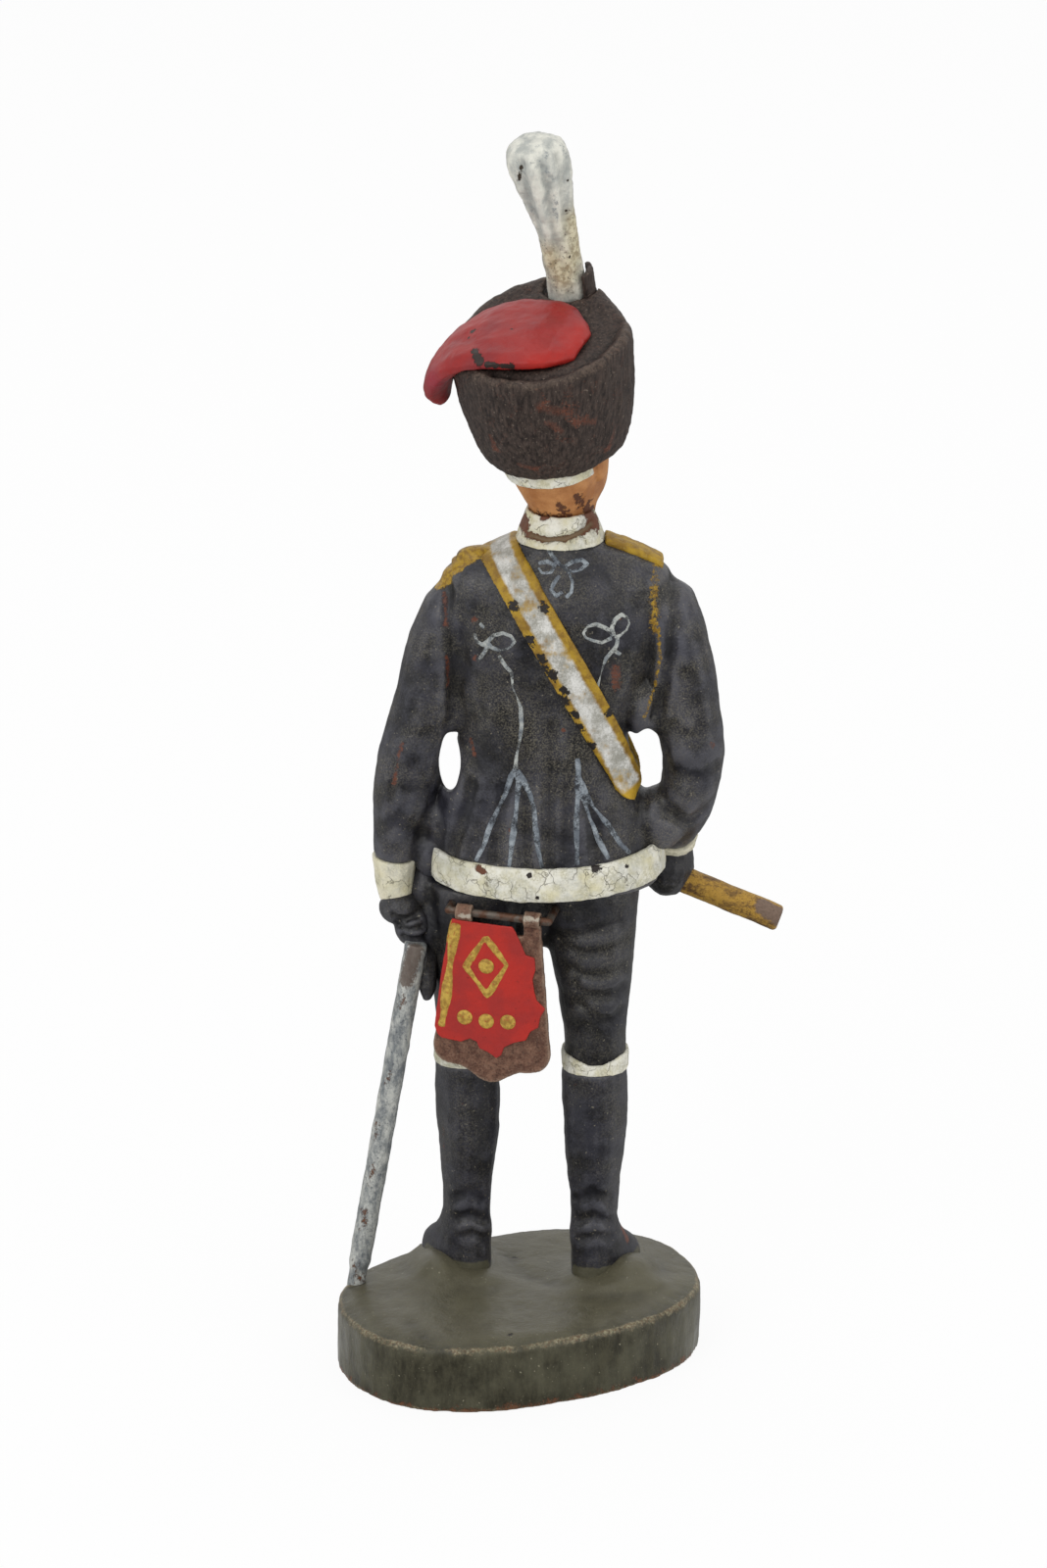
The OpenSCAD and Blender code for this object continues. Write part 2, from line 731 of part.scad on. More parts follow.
// Cap: [height share, width share from the lower to the upper width]
cap_shares = [
    [0, 0], [0.06, 0.25], [0.25, 0.6], [0.5, 0.84], [0.74, 0.97], [0.88, 1], [0.955, 0.93], [0.99, 0.68],
    [0.985, 0.3], [0.965, -0.1]
];
cap_depth_share = 1.02;
function cap_rows() = [
    for (s = cap_shares)
        let (w = (cap_low_w + (cap_w - cap_low_w) * s[1]) / 2)
        [0, 0, cap_z + cap_h * s[0], w, w * cap_depth_share, 0]
];
module cap_form(grow) {
    skin(level_rings(smooth(cap_rows(), plain_steps), grow, cap_sides, round_power));
}

// Bag: [across, back, height] in shares of cap_w, cap_w and cap_h, then thickness and width shares
bag_shares = [
    [-0.285, 0.1, 0.98, 0.22, 0.2],
    [-0.16, 0.095, 1.04, 0.44, 0.44],
    [0.04, 0.1, 1.06, 0.5, 0.5],
    [0.255, 0.1, 1.03, 0.5, 0.5],
    [0.435, 0.1, 0.92, 0.5, 0.44],
    [0.55, 0.105, 0.74, 0.48, 0.34],
    [0.59, 0.11, 0.57, 0.4, 0.22],
    [0.565, 0.11, 0.46, 0.2, 0.1]
];
bag_rows = smooth([
    for (s = bag_shares)
        [cap_w * s[0], cap_w * s[1], cap_z + cap_h * s[2], bag_t * s[3], bag_w * s[4]]
], plain_steps);

// Plume: [across, back, height] in shares of cap_w, cap_w and plume_h, then share from foot to tip width
plume_place_shares = [-0.045, -0.4];
plume_seat_share = 0.915;
plume_z = cap_z + cap_h * plume_seat_share;
plume_place = [cap_w * plume_place_shares[0], cap_w * plume_place_shares[1], plume_z];
plume_shares = [
    [0, 0, 0, 0], [0.003, 0, 0.14, -0.05], [0.008, 0.004, 0.35, -0.15], [0.022, 0.008, 0.57, 0.15],
    [0.042, 0.017, 0.75, 0.7], [0.052, 0.025, 0.885, 0.97], [0.056, 0.025, 0.965, 0.55],
    [0.056, 0.025, 1, -0.6]
];
flute_count = 8;
flute_share = 0.035;
plume_rows = smooth([
    for (s = plume_shares)
        let (r = (plume_foot_w + (plume_w - plume_foot_w) * s[3]) / 2)
        [
            plume_place[0] + cap_w * s[0],
            plume_place[1] + cap_w * s[1],
            plume_place[2] + plume_h * s[2],
            r,
            r,
            0
        ]
], plain_steps);
function plume_ring(row) = [
    for (k = [0:plume_sides - 1])
        let (
            a = 360 * k / plume_sides,
            r = row[3] * (1 + flute_share * (cos(flute_count * a) - 1))
        )
        [row[0] + r * cos(a), row[1] + r * sin(a), row[2]]
];
socket_bore = plume_foot_w + 2 * seat_gap;
socket_d = socket_bore + 2 * socket_t;
tab_from = 150;
tab_angle = 80;
tab_inset_share = 0.15;
tab_t_share = 0.7;

// Sabretache hinge, under the hem at the back
eye_d = pin_d + 2 * (pin_clear + eye_wall);
pouch_x_share = 0.272;
pouch_x = neck_x + skirt_w * pouch_x_share;
hinge_drop_share = 1;
hinge_z = hem_z - eye_d * hinge_drop_share;
hinge_back_share = 1.37;
hinge_y = body_y + seat_d / 2 * hinge_back_share;
module in_hinge_frame() {
    translate([pouch_x, hinge_y, hinge_z])
        rotate([0, -pouch_lean, -pouch_turn])
            children();
}
ear_w_share = 0.19;
ear_w = pouch_top_w * ear_w_share;
notch_h_share = 1.1;
corner_r_share = 0.17;
corner_r = pouch_w * corner_r_share;
tip_share = 0.085;
tip_h = pouch_h * tip_share;
tip_half_share = 0.3;
tip_half = pouch_w * tip_half_share;
corner_steps = 6;
tip_steps = 6;
function pouch_outline(inset) =
    let (
        r = corner_r - inset,
        low = -(pouch_h - tip_h) + inset,
        centre = [pouch_w / 2 - corner_r, low + r],
        right = concat(
            [[pouch_top_w / 2 - inset, -inset]],
            [
                for (k = [0:corner_steps])
                    centre + r * [cos(90 * k / corner_steps), -sin(90 * k / corner_steps)]
            ],
            [
                for (k = [1:tip_steps])
                    let (t = k / tip_steps)
                    [tip_half * (1 - t), low - tip_h * (1 - cos(180 * t)) / 2]
            ]
        ),
        count = len(right)
    )
    concat(right, [for (k = [count - 2:-1:0]) [-right[k][0], right[k][1]]]);
notch_w = pouch_top_w - 2 * ear_w;
staple_gap_share = 0.95;
staple_half = pouch_top_w / 2 + pin_d * staple_gap_share;
staple_depth_share = 0.5;
staple_len = seat_d * staple_depth_share;
facing_top_share = 1.6;

// Wires
wire_bore = wire_d + 2 * seat_gap;
wire_foot_share = 0.25;
wire_head_share = 0.16;
leg_wire_low = base_h * wire_foot_share;
leg_wire_high = hem_z + jacket_h * wire_head_share;
spine_low_share = 0.2;
spine_high_share = 0.3;
spine_shift_share = -0.1;
spine_x = neck_x + lean * spine_shift_share;
spine_low = hem_z + jacket_h * spine_low_share;
spine_high = head_pivot[2] + cap_z + cap_h * spine_high_share;
shoulder_wire_level_share = 0.79;
shoulder_wire_z = hem_z + jacket_h * shoulder_wire_level_share;
shoulder_wire_back_share = 1.5;
shoulder_wire_y = body_y + wire_d * shoulder_wire_back_share;
shoulder_wire_reach_share = 1.06;
plume_wire_share = 0.3;
plume_wire_d_share = 0.8;
plume_wire_d = wire_d * plume_wire_d_share;

module leg_wire_form(side, d) {
    translate([leg_x(side), foot_y(side), leg_wire_low])
        cylinder(d = d, h = leg_wire_high - leg_wire_low);
}
module spine_wire_form(d) {
    translate([spine_x, body_y, spine_low])
        cylinder(d = d, h = spine_high - spine_low);
}
module shoulder_wire_form(d) {
    half = shoulder_w / 2 * shoulder_wire_reach_share;
    translate([neck_x - half, shoulder_wire_y, shoulder_wire_z])
        rotate([0, 90, 0])
            cylinder(d = d, h = 2 * half);
}
module plume_wire_form(d) {
    translate(plume_place - [0, 0, plume_h * plume_wire_share / 2])
        cylinder(d = d, h = plume_h * plume_wire_share);
}
module staple_form(d) {
    in_hinge_frame() {
        rod([-staple_half, 0, 0], [staple_half, 0, 0], d);
        for (side = [-1, 1]) {
            rod([side * staple_half, 0, 0], [side * staple_half, -staple_len, 0], d);
            translate([side * staple_half, 0, 0])
                sphere(d = d);
        }
    }
}

// Pieces
module base() {
    rim_shares = [[1, 0], [0.62, 0.38], [0.29, 0.71], [0.08, 0.92], [0, 1.05]];
    color("darkolivegreen")
        difference() {
            union() {
                rotate(base_turn) {
                    linear_extrude(base_h - base_edge)
                        polygon([for (p = base_outline) [p[0], p[1]]]);
                    skin([
                        for (s = rim_shares)
                            level_ring([
                                0, 0, base_h - base_edge * s[0],
                                base_len / 2 - base_edge * s[1] * s[1],
                                base_w / 2 - base_edge * s[1] * s[1], 0
                            ], 0, base_sides, body_power)
                    ]);
                }
                intersection() {
                    rotate(base_turn)
                        linear_extrude(base_h + 2 * mound_h)
                            offset(delta = -base_edge)
                                polygon([for (p = base_outline) [p[0], p[1]]]);
                    for (side = [-1, 1])
                        mound(side);
                }
            }
            for (side = [-1, 1]) {
                boot_form(side, 0, foot_ring_count);
                leg_wire_form(side, wire_bore);
            }
            rod(scabbard_end, scabbard_top, scabbard_d * scabbard_tip_share + 2 * seat_gap);
        }
}

module boot(side) {
    color("black")
        difference() {
            boot_form(side, 0, len(boot_rows()) * plain_steps);
            leg_wire_form(side, wire_bore);
        }
}
module left_boot() { boot(1); }
module right_boot() { boot(-1); }

module boot_band(side) {
    color("ivory")
        layer(band_grid(side, seat_gap + band_t), band_grid(side, seat_gap), true);
}
module left_boot_band() { boot_band(1); }
module right_boot_band() { boot_band(-1); }

module breeches() {
    color("midnightblue")
        difference() {
            union() {
                leg_form(1, 0);
                leg_form(-1, 0);
            }
            leg_wire_form(1, wire_bore);
            leg_wire_form(-1, wire_bore);
            staple_form(pin_d + 2 * seat_gap);
        }
}

module jacket() {
    color("midnightblue")
        difference() {
            jacket_form(0, 0, len(jacket_smooth));
            leg_wire_form(1, wire_bore);
            leg_wire_form(-1, wire_bore);
            spine_wire_form(wire_bore);
            shoulder_wire_form(wire_bore);
        }
}

module hem_trim() {
    color("ivory")
        difference() {
            layer(hem_grid(1), hem_grid(0), true);
            right_arm_room();
        }
}

module collar() {
    flare_share = 0.87;
    color("ivory")
        difference() {
            skin([
                for (s = [0, 0.5, 1])
                    level_ring([
                        neck_x, body_y, collar_z + collar_h * s,
                        collar_w / 2 * (1 - (1 - flare_share) * s),
                        collar_w / 2 * (1 - (1 - flare_share) * s), 0
                    ], 0, head_sides, round_power)
            ]);
            in_head_frame()
                head_form(seat_gap, 0, jaw_row * plain_steps);
            spine_wire_form(wire_bore);
        }
}

module pouch_belt() {
    color("goldenrod")
        difference() {
            layer(belt_grid(belt_gap + belt_t), belt_grid(belt_gap), true);
            right_arm_room();
        }
}

module shoulder_cord(side) {
    color("goldenrod")
        layer(cord_grid(side, seat_gap * 2 + cord_t), cord_grid(side, seat_gap * 2), false);
}
module left_shoulder_cord() { shoulder_cord(1); }
module right_shoulder_cord() { shoulder_cord(-1); }

module chest_braid() {
    rise = jacket_h * (braid_high_share - braid_low_share) / (braid_rows - 1);
    color("lightgray")
        difference() {
            for (i = [0:braid_rows - 1]) {
                z = hem_z + jacket_h * braid_low_share + rise * i;
                layer(braid_grid(z, belt_gap + braid_t), braid_grid(z, belt_gap), false);
            }
            belt_slab(belt_w + 2 * braid_t);
        }
}

// The slanting slab that the belt runs in, in front of the figure
module belt_slab(w) {
    translate([neck_x + belt_offset, body_y, hem_z + jacket_h * belt_top_share])
        rotate([0, belt_angle, 0])
            translate([-w / 2, -reach / 2, -reach / 2])
                cube([w, reach / 2, reach]);
}

module sleeve(side) {
    color("midnightblue")
        difference() {
            arm_piece(side, 0, cuff_start(side), 0);
            jacket_form(seat_gap, armhole_low_row * plain_steps, armhole_high_row * plain_steps);
            shoulder_wire_form(wire_bore);
        }
}
module left_sleeve() { sleeve(1); }
module right_sleeve() { sleeve(-1); }

module cuff(side) {
    color("ivory")
        arm_piece(side, cuff_start(side), cuff_end(side), cuff_t);
}
module left_cuff() { cuff(1); }
module right_cuff() { cuff(-1); }

module left_hand() {
    color("black")
        difference() {
            arm_piece(1, cuff_end(1), len(arm_rows(1)) - 1, 0);
            rod(scabbard_end, scabbard_top, scabbard_d + 2 * seat_gap);
        }
}

module right_hand() {
    color("black")
        difference() {
            arm_piece(-1, cuff_end(-1), len(arm_rows(-1)) - 1, 0);
            rod(baton_start, baton_end, baton_d + 2 * seat_gap);
        }
}

module head() {
    color("burlywood")
        difference() {
            in_head_frame() {
                head_form(0, 0, len(head_smooth));
                skin([
                    for (s = nose_shares)
                        level_ring([
                            0, -head_d * s[1], cap_z * s[0], head_w * s[2], head_d * s[3], 0
                        ], 0, feature_sides, round_power)
                ]);
                for (side = [-1, 1])
                    skin([
                        for (s = ear_shares)
                            level_ring([
                                side * head_w * ear_x_share, head_d * ear_y_share, cap_z * s[0],
                                head_w * s[1], head_d * s[2], 0
                            ], 0, feature_sides, round_power)
                    ]);
            }
            translate([-reach / 2, -reach / 2, collar_z - reach])
                cube(reach);
            spine_wire_form(wire_bore);
        }
}

module nape_band() {
    color("ivory")
        in_head_frame()
            layer(nape_grid(seat_gap + nape_t), nape_grid(seat_gap), false);
}

module busby() {
    color("saddlebrown")
        difference() {
            in_head_frame()
                difference() {
                    cap_form(0);
                    translate(plume_place)
                        cylinder(d = socket_d + 2 * seat_gap, h = cap_h);
                    plume_wire_form(plume_wire_d + 2 * seat_gap);
                }
            spine_wire_form(wire_bore);
        }
}

module busby_bag() {
    color("firebrick")
        in_head_frame()
            difference() {
                skin(path_rings(bag_rows, 0, len(bag_rows) - 1, 0, bag_sides));
                translate([0, 0, 2 * seat_gap])
                    cap_form(seat_gap);
                translate(plume_place)
                    cylinder(d = socket_d + 2 * seat_gap, h = cap_h);
            }
}

module plume_socket() {
    color("black")
        in_head_frame()
            translate(plume_place) {
                rotate_extrude()
                    translate([socket_bore / 2, 0])
                        square([socket_t, socket_h]);
                rotate(tab_from)
                    rotate_extrude(angle = tab_angle)
                        translate([socket_bore / 2 + socket_t * tab_inset_share, socket_h / 2])
                            square([socket_t * tab_t_share, tab_h - socket_h / 2]);
            }
}

module plume() {
    color("gainsboro")
        in_head_frame()
            difference() {
                skin([for (row = plume_rows) plume_ring(row)]);
                plume_wire_form(plume_wire_d + 2 * seat_gap);
            }
}

module sabretache_hanger() {
    color("dimgray")
        staple_form(pin_d);
}

module sabretache() {
    color("sienna")
        in_hinge_frame()
            difference() {
                union() {
                    translate([0, plate_t / 2, 0])
                        rotate([90, 0, 0])
                            linear_extrude(plate_t)
                                difference() {
                                    polygon(pouch_outline(0));
                                    translate([-notch_w / 2, -eye_d * notch_h_share])
                                        square([notch_w, eye_d * notch_h_share + cut]);
                                }
                    for (side = [-1, 1])
                        translate([side * (pouch_top_w - ear_w) / 2 - ear_w / 2, 0, 0])
                            rotate([0, 90, 0])
                                cylinder(d = eye_d, h = ear_w);
                }
                translate([-pouch_top_w / 2 - cut, 0, 0])
                    rotate([0, 90, 0])
                        cylinder(d = pin_d + 2 * pin_clear, h = pouch_top_w + 2 * cut);
            }
}

module sabretache_facing() {
    color("red")
        in_hinge_frame()
            translate([0, plate_t / 2 + facing_t, 0])
                rotate([90, 0, 0])
                    linear_extrude(facing_t)
                        difference() {
                            polygon(pouch_outline(facing_margin));
                            translate([-pouch_w / 2, -eye_d * facing_top_share])
                                square([pouch_w, pouch_h]);
                        }
}

module scabbard() {
    tip_len = base_h * scabbard_sink_share;
    shoe_len = scabbard_d;
    color("silver")
        translate(scabbard_end)
            rotate([0, acos(scabbard_along[2]), atan2(scabbard_along[1], scabbard_along[0])])
                rotate_extrude()
                    polygon([
                        [0, 0],
                        [scabbard_d * scabbard_tip_share / 2, 0],
                        [scabbard_d * scabbard_tip_share / 2, tip_len + shoe_len / 2],
                        [scabbard_d / 2, tip_len + shoe_len],
                        [scabbard_d / 2, scabbard_len],
                        [0, scabbard_len]
                    ]);
}

module baton() {
    edge = baton_d * baton_edge_share;
    color("goldenrod")
        translate(baton_start)
            rotate([0, acos(baton_heading[2]), atan2(baton_heading[1], baton_heading[0])])
                rotate_extrude()
                    polygon([
                        [0, 0],
                        [baton_d / 2, 0],
                        [baton_d / 2, baton_len - edge],
                        [baton_d / 2 - edge, baton_len],
                        [0, baton_len]
                    ]);
}

module left_leg_wire() { color("gray") leg_wire_form(1, wire_d); }
module right_leg_wire() { color("gray") leg_wire_form(-1, wire_d); }
module spine_wire() { color("gray") spine_wire_form(wire_d); }
module shoulder_wire() { color("gray") shoulder_wire_form(wire_d); }
module plume_wire() { color("gray") in_head_frame() plume_wire_form(plume_wire_d); }

base();
left_boot();
right_boot();
left_boot_band();
right_boot_band();
breeches();
jacket();
hem_trim();
collar();
pouch_belt();
left_shoulder_cord();
right_shoulder_cord();
chest_braid();
left_sleeve();
right_sleeve();
left_cuff();
right_cuff();
left_hand();
right_hand();
head();
nape_band();
busby();
busby_bag();
plume_socket();
plume();
sabretache_hanger();
sabretache();
sabretache_facing();
scabbard();
baton();
left_leg_wire();
right_leg_wire();
spine_wire();
shoulder_wire();
plume_wire();
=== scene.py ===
# %% [markdown]
# # A painted toy soldier
# The figure is pressed from a dough of sawdust and glue round a wire frame, baked, and painted by hand. Its
# tin pouch, scabbard and rod are added last. The frame that is loaded here has every piece at its real size.
# This lesson lays skins over those pieces, works creases into them, and paints them as a worn old toy.

# %% Load the frame
import math
import bpy
import numpy as np
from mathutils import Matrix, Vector


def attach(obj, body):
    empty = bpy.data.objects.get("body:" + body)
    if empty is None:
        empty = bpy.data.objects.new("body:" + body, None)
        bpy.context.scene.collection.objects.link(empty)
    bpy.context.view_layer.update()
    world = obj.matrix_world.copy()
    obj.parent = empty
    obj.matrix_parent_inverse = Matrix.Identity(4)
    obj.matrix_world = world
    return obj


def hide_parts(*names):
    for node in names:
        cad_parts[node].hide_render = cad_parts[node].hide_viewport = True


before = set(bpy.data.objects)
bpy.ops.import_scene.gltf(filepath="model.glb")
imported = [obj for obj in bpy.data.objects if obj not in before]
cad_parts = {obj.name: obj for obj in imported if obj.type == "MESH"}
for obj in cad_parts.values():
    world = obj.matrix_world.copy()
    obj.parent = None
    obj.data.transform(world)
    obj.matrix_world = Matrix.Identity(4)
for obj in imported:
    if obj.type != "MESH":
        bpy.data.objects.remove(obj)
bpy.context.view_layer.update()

# %% [markdown]
# ## Camera
# The picture looks down on the figure's back through a long lens. A camera could be turned by eye, but the
# same few numbers also serve to find the point of the figure that lies under any pixel of the picture, and
# that is how painted lines and creases are placed later on.

# %% Camera
MM = 0.001
photo_wide, photo_high = 1068, 1600
camera_rise = math.radians(20)
camera_distance = 450 * MM
camera_target = Vector((-0.3, 0.9, 45.1)) * MM
pixels_per_mm = 14.2
sensor_mm = 36
focus_px = pixels_per_mm * camera_distance / MM
look = Vector((0, -math.cos(camera_rise), -math.sin(camera_rise)))
photo_right = Vector((-1, 0, 0))
photo_up = Vector((0, -math.sin(camera_rise), math.cos(camera_rise)))
camera_place = camera_target - look * camera_distance

bpy.ops.object.select_all(action="DESELECT")
bpy.ops.object.camera_add(location=camera_place, rotation=(math.pi / 2 - camera_rise, 0, math.pi))
camera = bpy.context.object
camera.data.sensor_width = sensor_mm
camera.data.lens = sensor_mm * focus_px / photo_high
camera.data.clip_start = camera_distance / 10
bpy.context.scene.camera = camera


def photo_ray(pixel):
    """The direction in which the camera sees a pixel of the picture."""
    x, y = pixel
    side = photo_right * (x - photo_wide / 2) / focus_px
    rise = photo_up * (photo_high / 2 - y) / focus_px
    return (look + side + rise).normalized()


def on_surface(piece, pixels, sink=0.0):
    """The points of a piece under some pixels, sunk into it a little. A pixel beside it is left out."""
    found = []
    for pixel in pixels:
        hit, place, outward, _ = piece.ray_cast(camera_place, photo_ray(pixel))
        if hit:
            found.append(place - outward * sink)
    return found


def at_depth(pixel, depth):
    """The point under a pixel at a distance behind the figure's middle, in millimetres."""
    ray = photo_ray(pixel)
    return camera_place + ray * ((depth * MM - camera_place.y) / ray.y)


print("lens", round(camera.data.lens, 1), "mm")

# %% [markdown]
# ## Light and floor
# Small things are photographed in a tent of white cloth, which lights them from all round. A white world does
# the same, and three large soft lamps give the forms a little direction. The world looks white to the camera,
# but lights the figure at a lower level.

# %% White tent and lamps
tent_level = 0.62
lamps = {
    "key": {"place": (0.35, 0.5, 0.45), "watts": 1.5, "side": 0.45},
    "fill": {"place": (-0.5, 0.35, 0.25), "watts": 0.7, "side": 0.45},
    "top": {"place": (0, -0.1, 0.6), "watts": 0.9, "side": 0.5},
}


def node_in(tree, kind, operation, *inputs):
    """The output of a new node that works on some values or links."""
    node = tree.nodes.new("ShaderNode" + kind)
    node.operation = operation
    for socket, value in zip(node.inputs, inputs):
        if isinstance(value, bpy.types.NodeSocket):
            tree.links.new(value, socket)
        else:
            socket.default_value = value
    return node.outputs[0]


def seen_directly(tree):
    """A value that is 1 for rays that come from the camera, a gloss or a glass."""
    rays = tree.nodes.new("ShaderNodeLightPath").outputs
    seen = node_in(tree, "Math", "MAXIMUM", rays["Is Camera Ray"], rays["Is Glossy Ray"])
    return node_in(tree, "Math", "MAXIMUM", seen, rays["Is Transmission Ray"])


def blend(tree, share, first, second, output):
    """Feeds a tree's output with two shaders, mixed by a share."""
    mixer = tree.nodes.new("ShaderNodeMixShader")
    for value, socket in zip((share, first.outputs[0], second.outputs[0]), mixer.inputs):
        tree.links.new(value, socket)
    tree.links.new(mixer.outputs[0], tree.nodes[output].inputs["Surface"])


world = bpy.data.worlds.new("tent")
bpy.context.scene.world = world
world.use_nodes = True
tent = world.node_tree
cloth = tent.nodes["Background"]
backdrop = tent.nodes.new("ShaderNodeBackground")
for shader, strength in ((cloth, tent_level), (backdrop, 1)):
    shader.inputs["Color"].default_value = (1, 1, 1, 1)
    shader.inputs["Strength"].default_value = strength
blend(tent, seen_directly(tent), cloth, backdrop, "World Output")

for name, lamp in lamps.items():
    toward = camera_target - Vector(lamp["place"])
    turn = toward.to_track_quat("-Z", "Y").to_euler()
    bpy.ops.object.light_add(type="AREA", location=lamp["place"], rotation=turn)
    softbox = bpy.context.object
    softbox.name = name
    softbox.data.energy = lamp["watts"]
    softbox.data.size = lamp["side"]
print("tent level", tent_level, "with", len(lamps), "soft lamps")

# %% [markdown]
# The floor also looks white, and still takes a faint shadow. Dark cloths lie on it before and behind the
# figure, which only gloss can see: they keep dark paint deep where it faces the camera, and leave a sheen at
# its sides. Black card serves the same end in a studio.

# %% Floor
floor_side = 60
floor_white, floor_veil = 0.9, 0.92
cloth_share, cloth_soft = 0.85, 0.2

bpy.ops.mesh.primitive_plane_add(size=floor_side)
floor = bpy.context.object
floor.name = "floor"
floor_paint = bpy.data.materials.new("white_floor")
floor_paint.use_nodes = True
tree = floor_paint.node_tree
matt = tree.nodes["Principled BSDF"]
matt.inputs["Base Color"].default_value = (floor_white, floor_white, floor_white, 1)
matt.inputs["Roughness"].default_value = 1
matt.inputs["Specular IOR Level"].default_value = 0

spot = tree.nodes.new("ShaderNodeTexCoord").outputs["Object"]
way = tree.nodes.new("ShaderNodeSeparateXYZ")
tree.links.new(node_in(tree, "VectorMath", "NORMALIZE", spot), way.inputs[0])
ahead = node_in(tree, "Math", "ABSOLUTE", way.outputs["Y"])
dark_cloth = node_in(tree, "Math", "SMOOTH_MIN", ahead, cloth_share, cloth_soft)
gloss = tree.nodes.new("ShaderNodeLightPath").outputs["Is Glossy Ray"]
darkened = node_in(tree, "Math", "MULTIPLY", gloss, dark_cloth)
glow = tree.nodes.new("ShaderNodeEmission")
tree.links.new(node_in(tree, "Math", "SUBTRACT", 1.0, darkened), glow.inputs["Strength"])
veil = node_in(tree, "Math", "MULTIPLY", seen_directly(tree), floor_veil)
blend(tree, veil, matt, glow, "Material Output")
floor.data.materials.append(floor_paint)
bpy.context.scene.view_settings.view_transform = "Standard"
print("floor laid, with dark cloths that gloss sees")

# %% [markdown]
# ## Skins
# A pressed figure has no sharp joins: dough fills every corner. Each skin starts as a copy of some CAD
# pieces, swells a little so that they meet, and is remeshed into one even net of small faces. That net can be
# smoothed like wet dough, pressed into creases and stained point by point. Modelling by subdivision would
# give fewer faces, but would need every join drawn by hand.

# %% Tools for single objects


def alone(piece):
    """Makes one object the only selected and active one."""
    bpy.ops.object.select_all(action="DESELECT")
    piece.select_set(True)
    bpy.context.view_layer.objects.active = piece


def work(piece, kind, **settings):
    """Adds a modifier to a piece, sets it and applies it."""
    alone(piece)
    modifier = piece.modifiers.new(kind.lower(), kind)
    for name, value in settings.items():
        setattr(modifier, name, value)
    bpy.ops.object.modifier_apply(modifier=modifier.name)


def swell(piece, height):
    """Moves the whole surface outwards, in millimetres."""
    work(piece, "DISPLACE", strength=height * MM, mid_level=0)


def even_net(piece, grain, rounds=0):
    """Remeshes a piece into even faces as large as the grain, in millimetres, and smooths it some rounds."""
    work(piece, "REMESH", mode="VOXEL", voxel_size=grain * MM, use_smooth_shade=True)
    if rounds:
        work(piece, "SMOOTH", factor=0.5, iterations=rounds)


def merge(piece, others):
    """Joins other objects into a piece."""
    alone(piece)
    for other in others:
        other.select_set(True)
    bpy.ops.object.join()


def copy_of(name, *nodes):
    """One new object with the welded meshes of some CAD pieces."""
    copies = []
    for node in nodes:
        copies.append(bpy.data.objects.new(name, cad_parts[node].data.copy()))
        bpy.context.scene.collection.objects.link(copies[-1])
    piece = copies[-1]
    alone(piece)
    if len(copies) > 1:
        merge(piece, copies)
    piece.name = name
    bpy.ops.object.mode_set(mode="EDIT")
    bpy.ops.mesh.select_all(action="SELECT")
    bpy.ops.mesh.remove_doubles(threshold=0.001 * MM)
    bpy.ops.object.mode_set(mode="OBJECT")
    return piece


print("tools for single objects ready")

# %% [markdown]
# Dough is added as eggs, placed under a pixel of the picture at a depth. A finished skin is handed over: it
# gets its paint, rides on a body, and takes the place of its CAD pieces.

# %% Tools for skins


def pellet(place, sizes, turn=None):
    """An egg of dough as wide, high and deep as seen by the camera, in millimetres."""
    bpy.ops.object.select_all(action="DESELECT")
    bpy.ops.mesh.primitive_uv_sphere_add(segments=32, ring_count=20, radius=0.5)
    egg = bpy.context.object
    egg.scale = [size * MM for size in sizes]
    egg.rotation_euler = turn or camera.rotation_euler
    egg.location = place
    bpy.ops.object.transform_apply(location=True, rotation=True, scale=True)
    return egg


def skin_over(name, nodes, grain, rounds, swollen=0.0, dough=(), holes=(), eggs=()):
    """An even net over some CAD pieces, with dough added and holes cut. Sizes in millimetres."""
    piece = copy_of(name, *nodes)
    if swollen:
        swell(piece, swollen)
    eggs = [*eggs, *(pellet(at_depth(pixel, depth), sizes) for pixel, depth, sizes in dough)]
    if eggs:
        merge(piece, eggs)
    even_net(piece, grain, 0 if holes else rounds)
    for pixel, depth, sizes in holes:
        egg = pellet(at_depth(pixel, depth), sizes)
        work(piece, "BOOLEAN", operation="DIFFERENCE", object=egg, solver="EXACT")
        bpy.data.objects.remove(egg)
    if holes:
        even_net(piece, grain, rounds)
    return piece


def hand_over(piece, body, slot, finish, *nodes):
    """Shades a piece smooth, paints it, and puts it on its body in place of its CAD pieces."""
    alone(piece)
    bpy.ops.object.shade_smooth()
    piece.data.materials.clear()
    piece.data.materials.append(finish)
    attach(piece, body)
    if nodes:
        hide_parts(*nodes)
    print(piece.name, len(piece.data.polygons), "faces")


print("tools for skins ready")

# %% [markdown]
# A net is worked through its points, read as rows of x, y, z. Creases and stains follow paths that are read
# off the picture, and fade out sideways like a soft brush. A stain goes into a named layer, one value per
# point, which a finish can read. The relief, how far a point stands proud, is such a layer too.

# %% Points and paths


def points_of(piece, kind="co"):
    """The piece's points as rows of x, y, z."""
    flat = np.zeros(len(piece.data.vertices) * 3)
    piece.data.vertices.foreach_get(kind, flat)
    return flat.reshape(-1, 3)


def normals_of(piece):
    """The outward direction at each point."""
    return points_of(piece, "normal")


def move_points(piece, points):
    """Puts the piece's points in new places."""
    piece.data.vertices.foreach_set("co", points.ravel())
    piece.data.update()


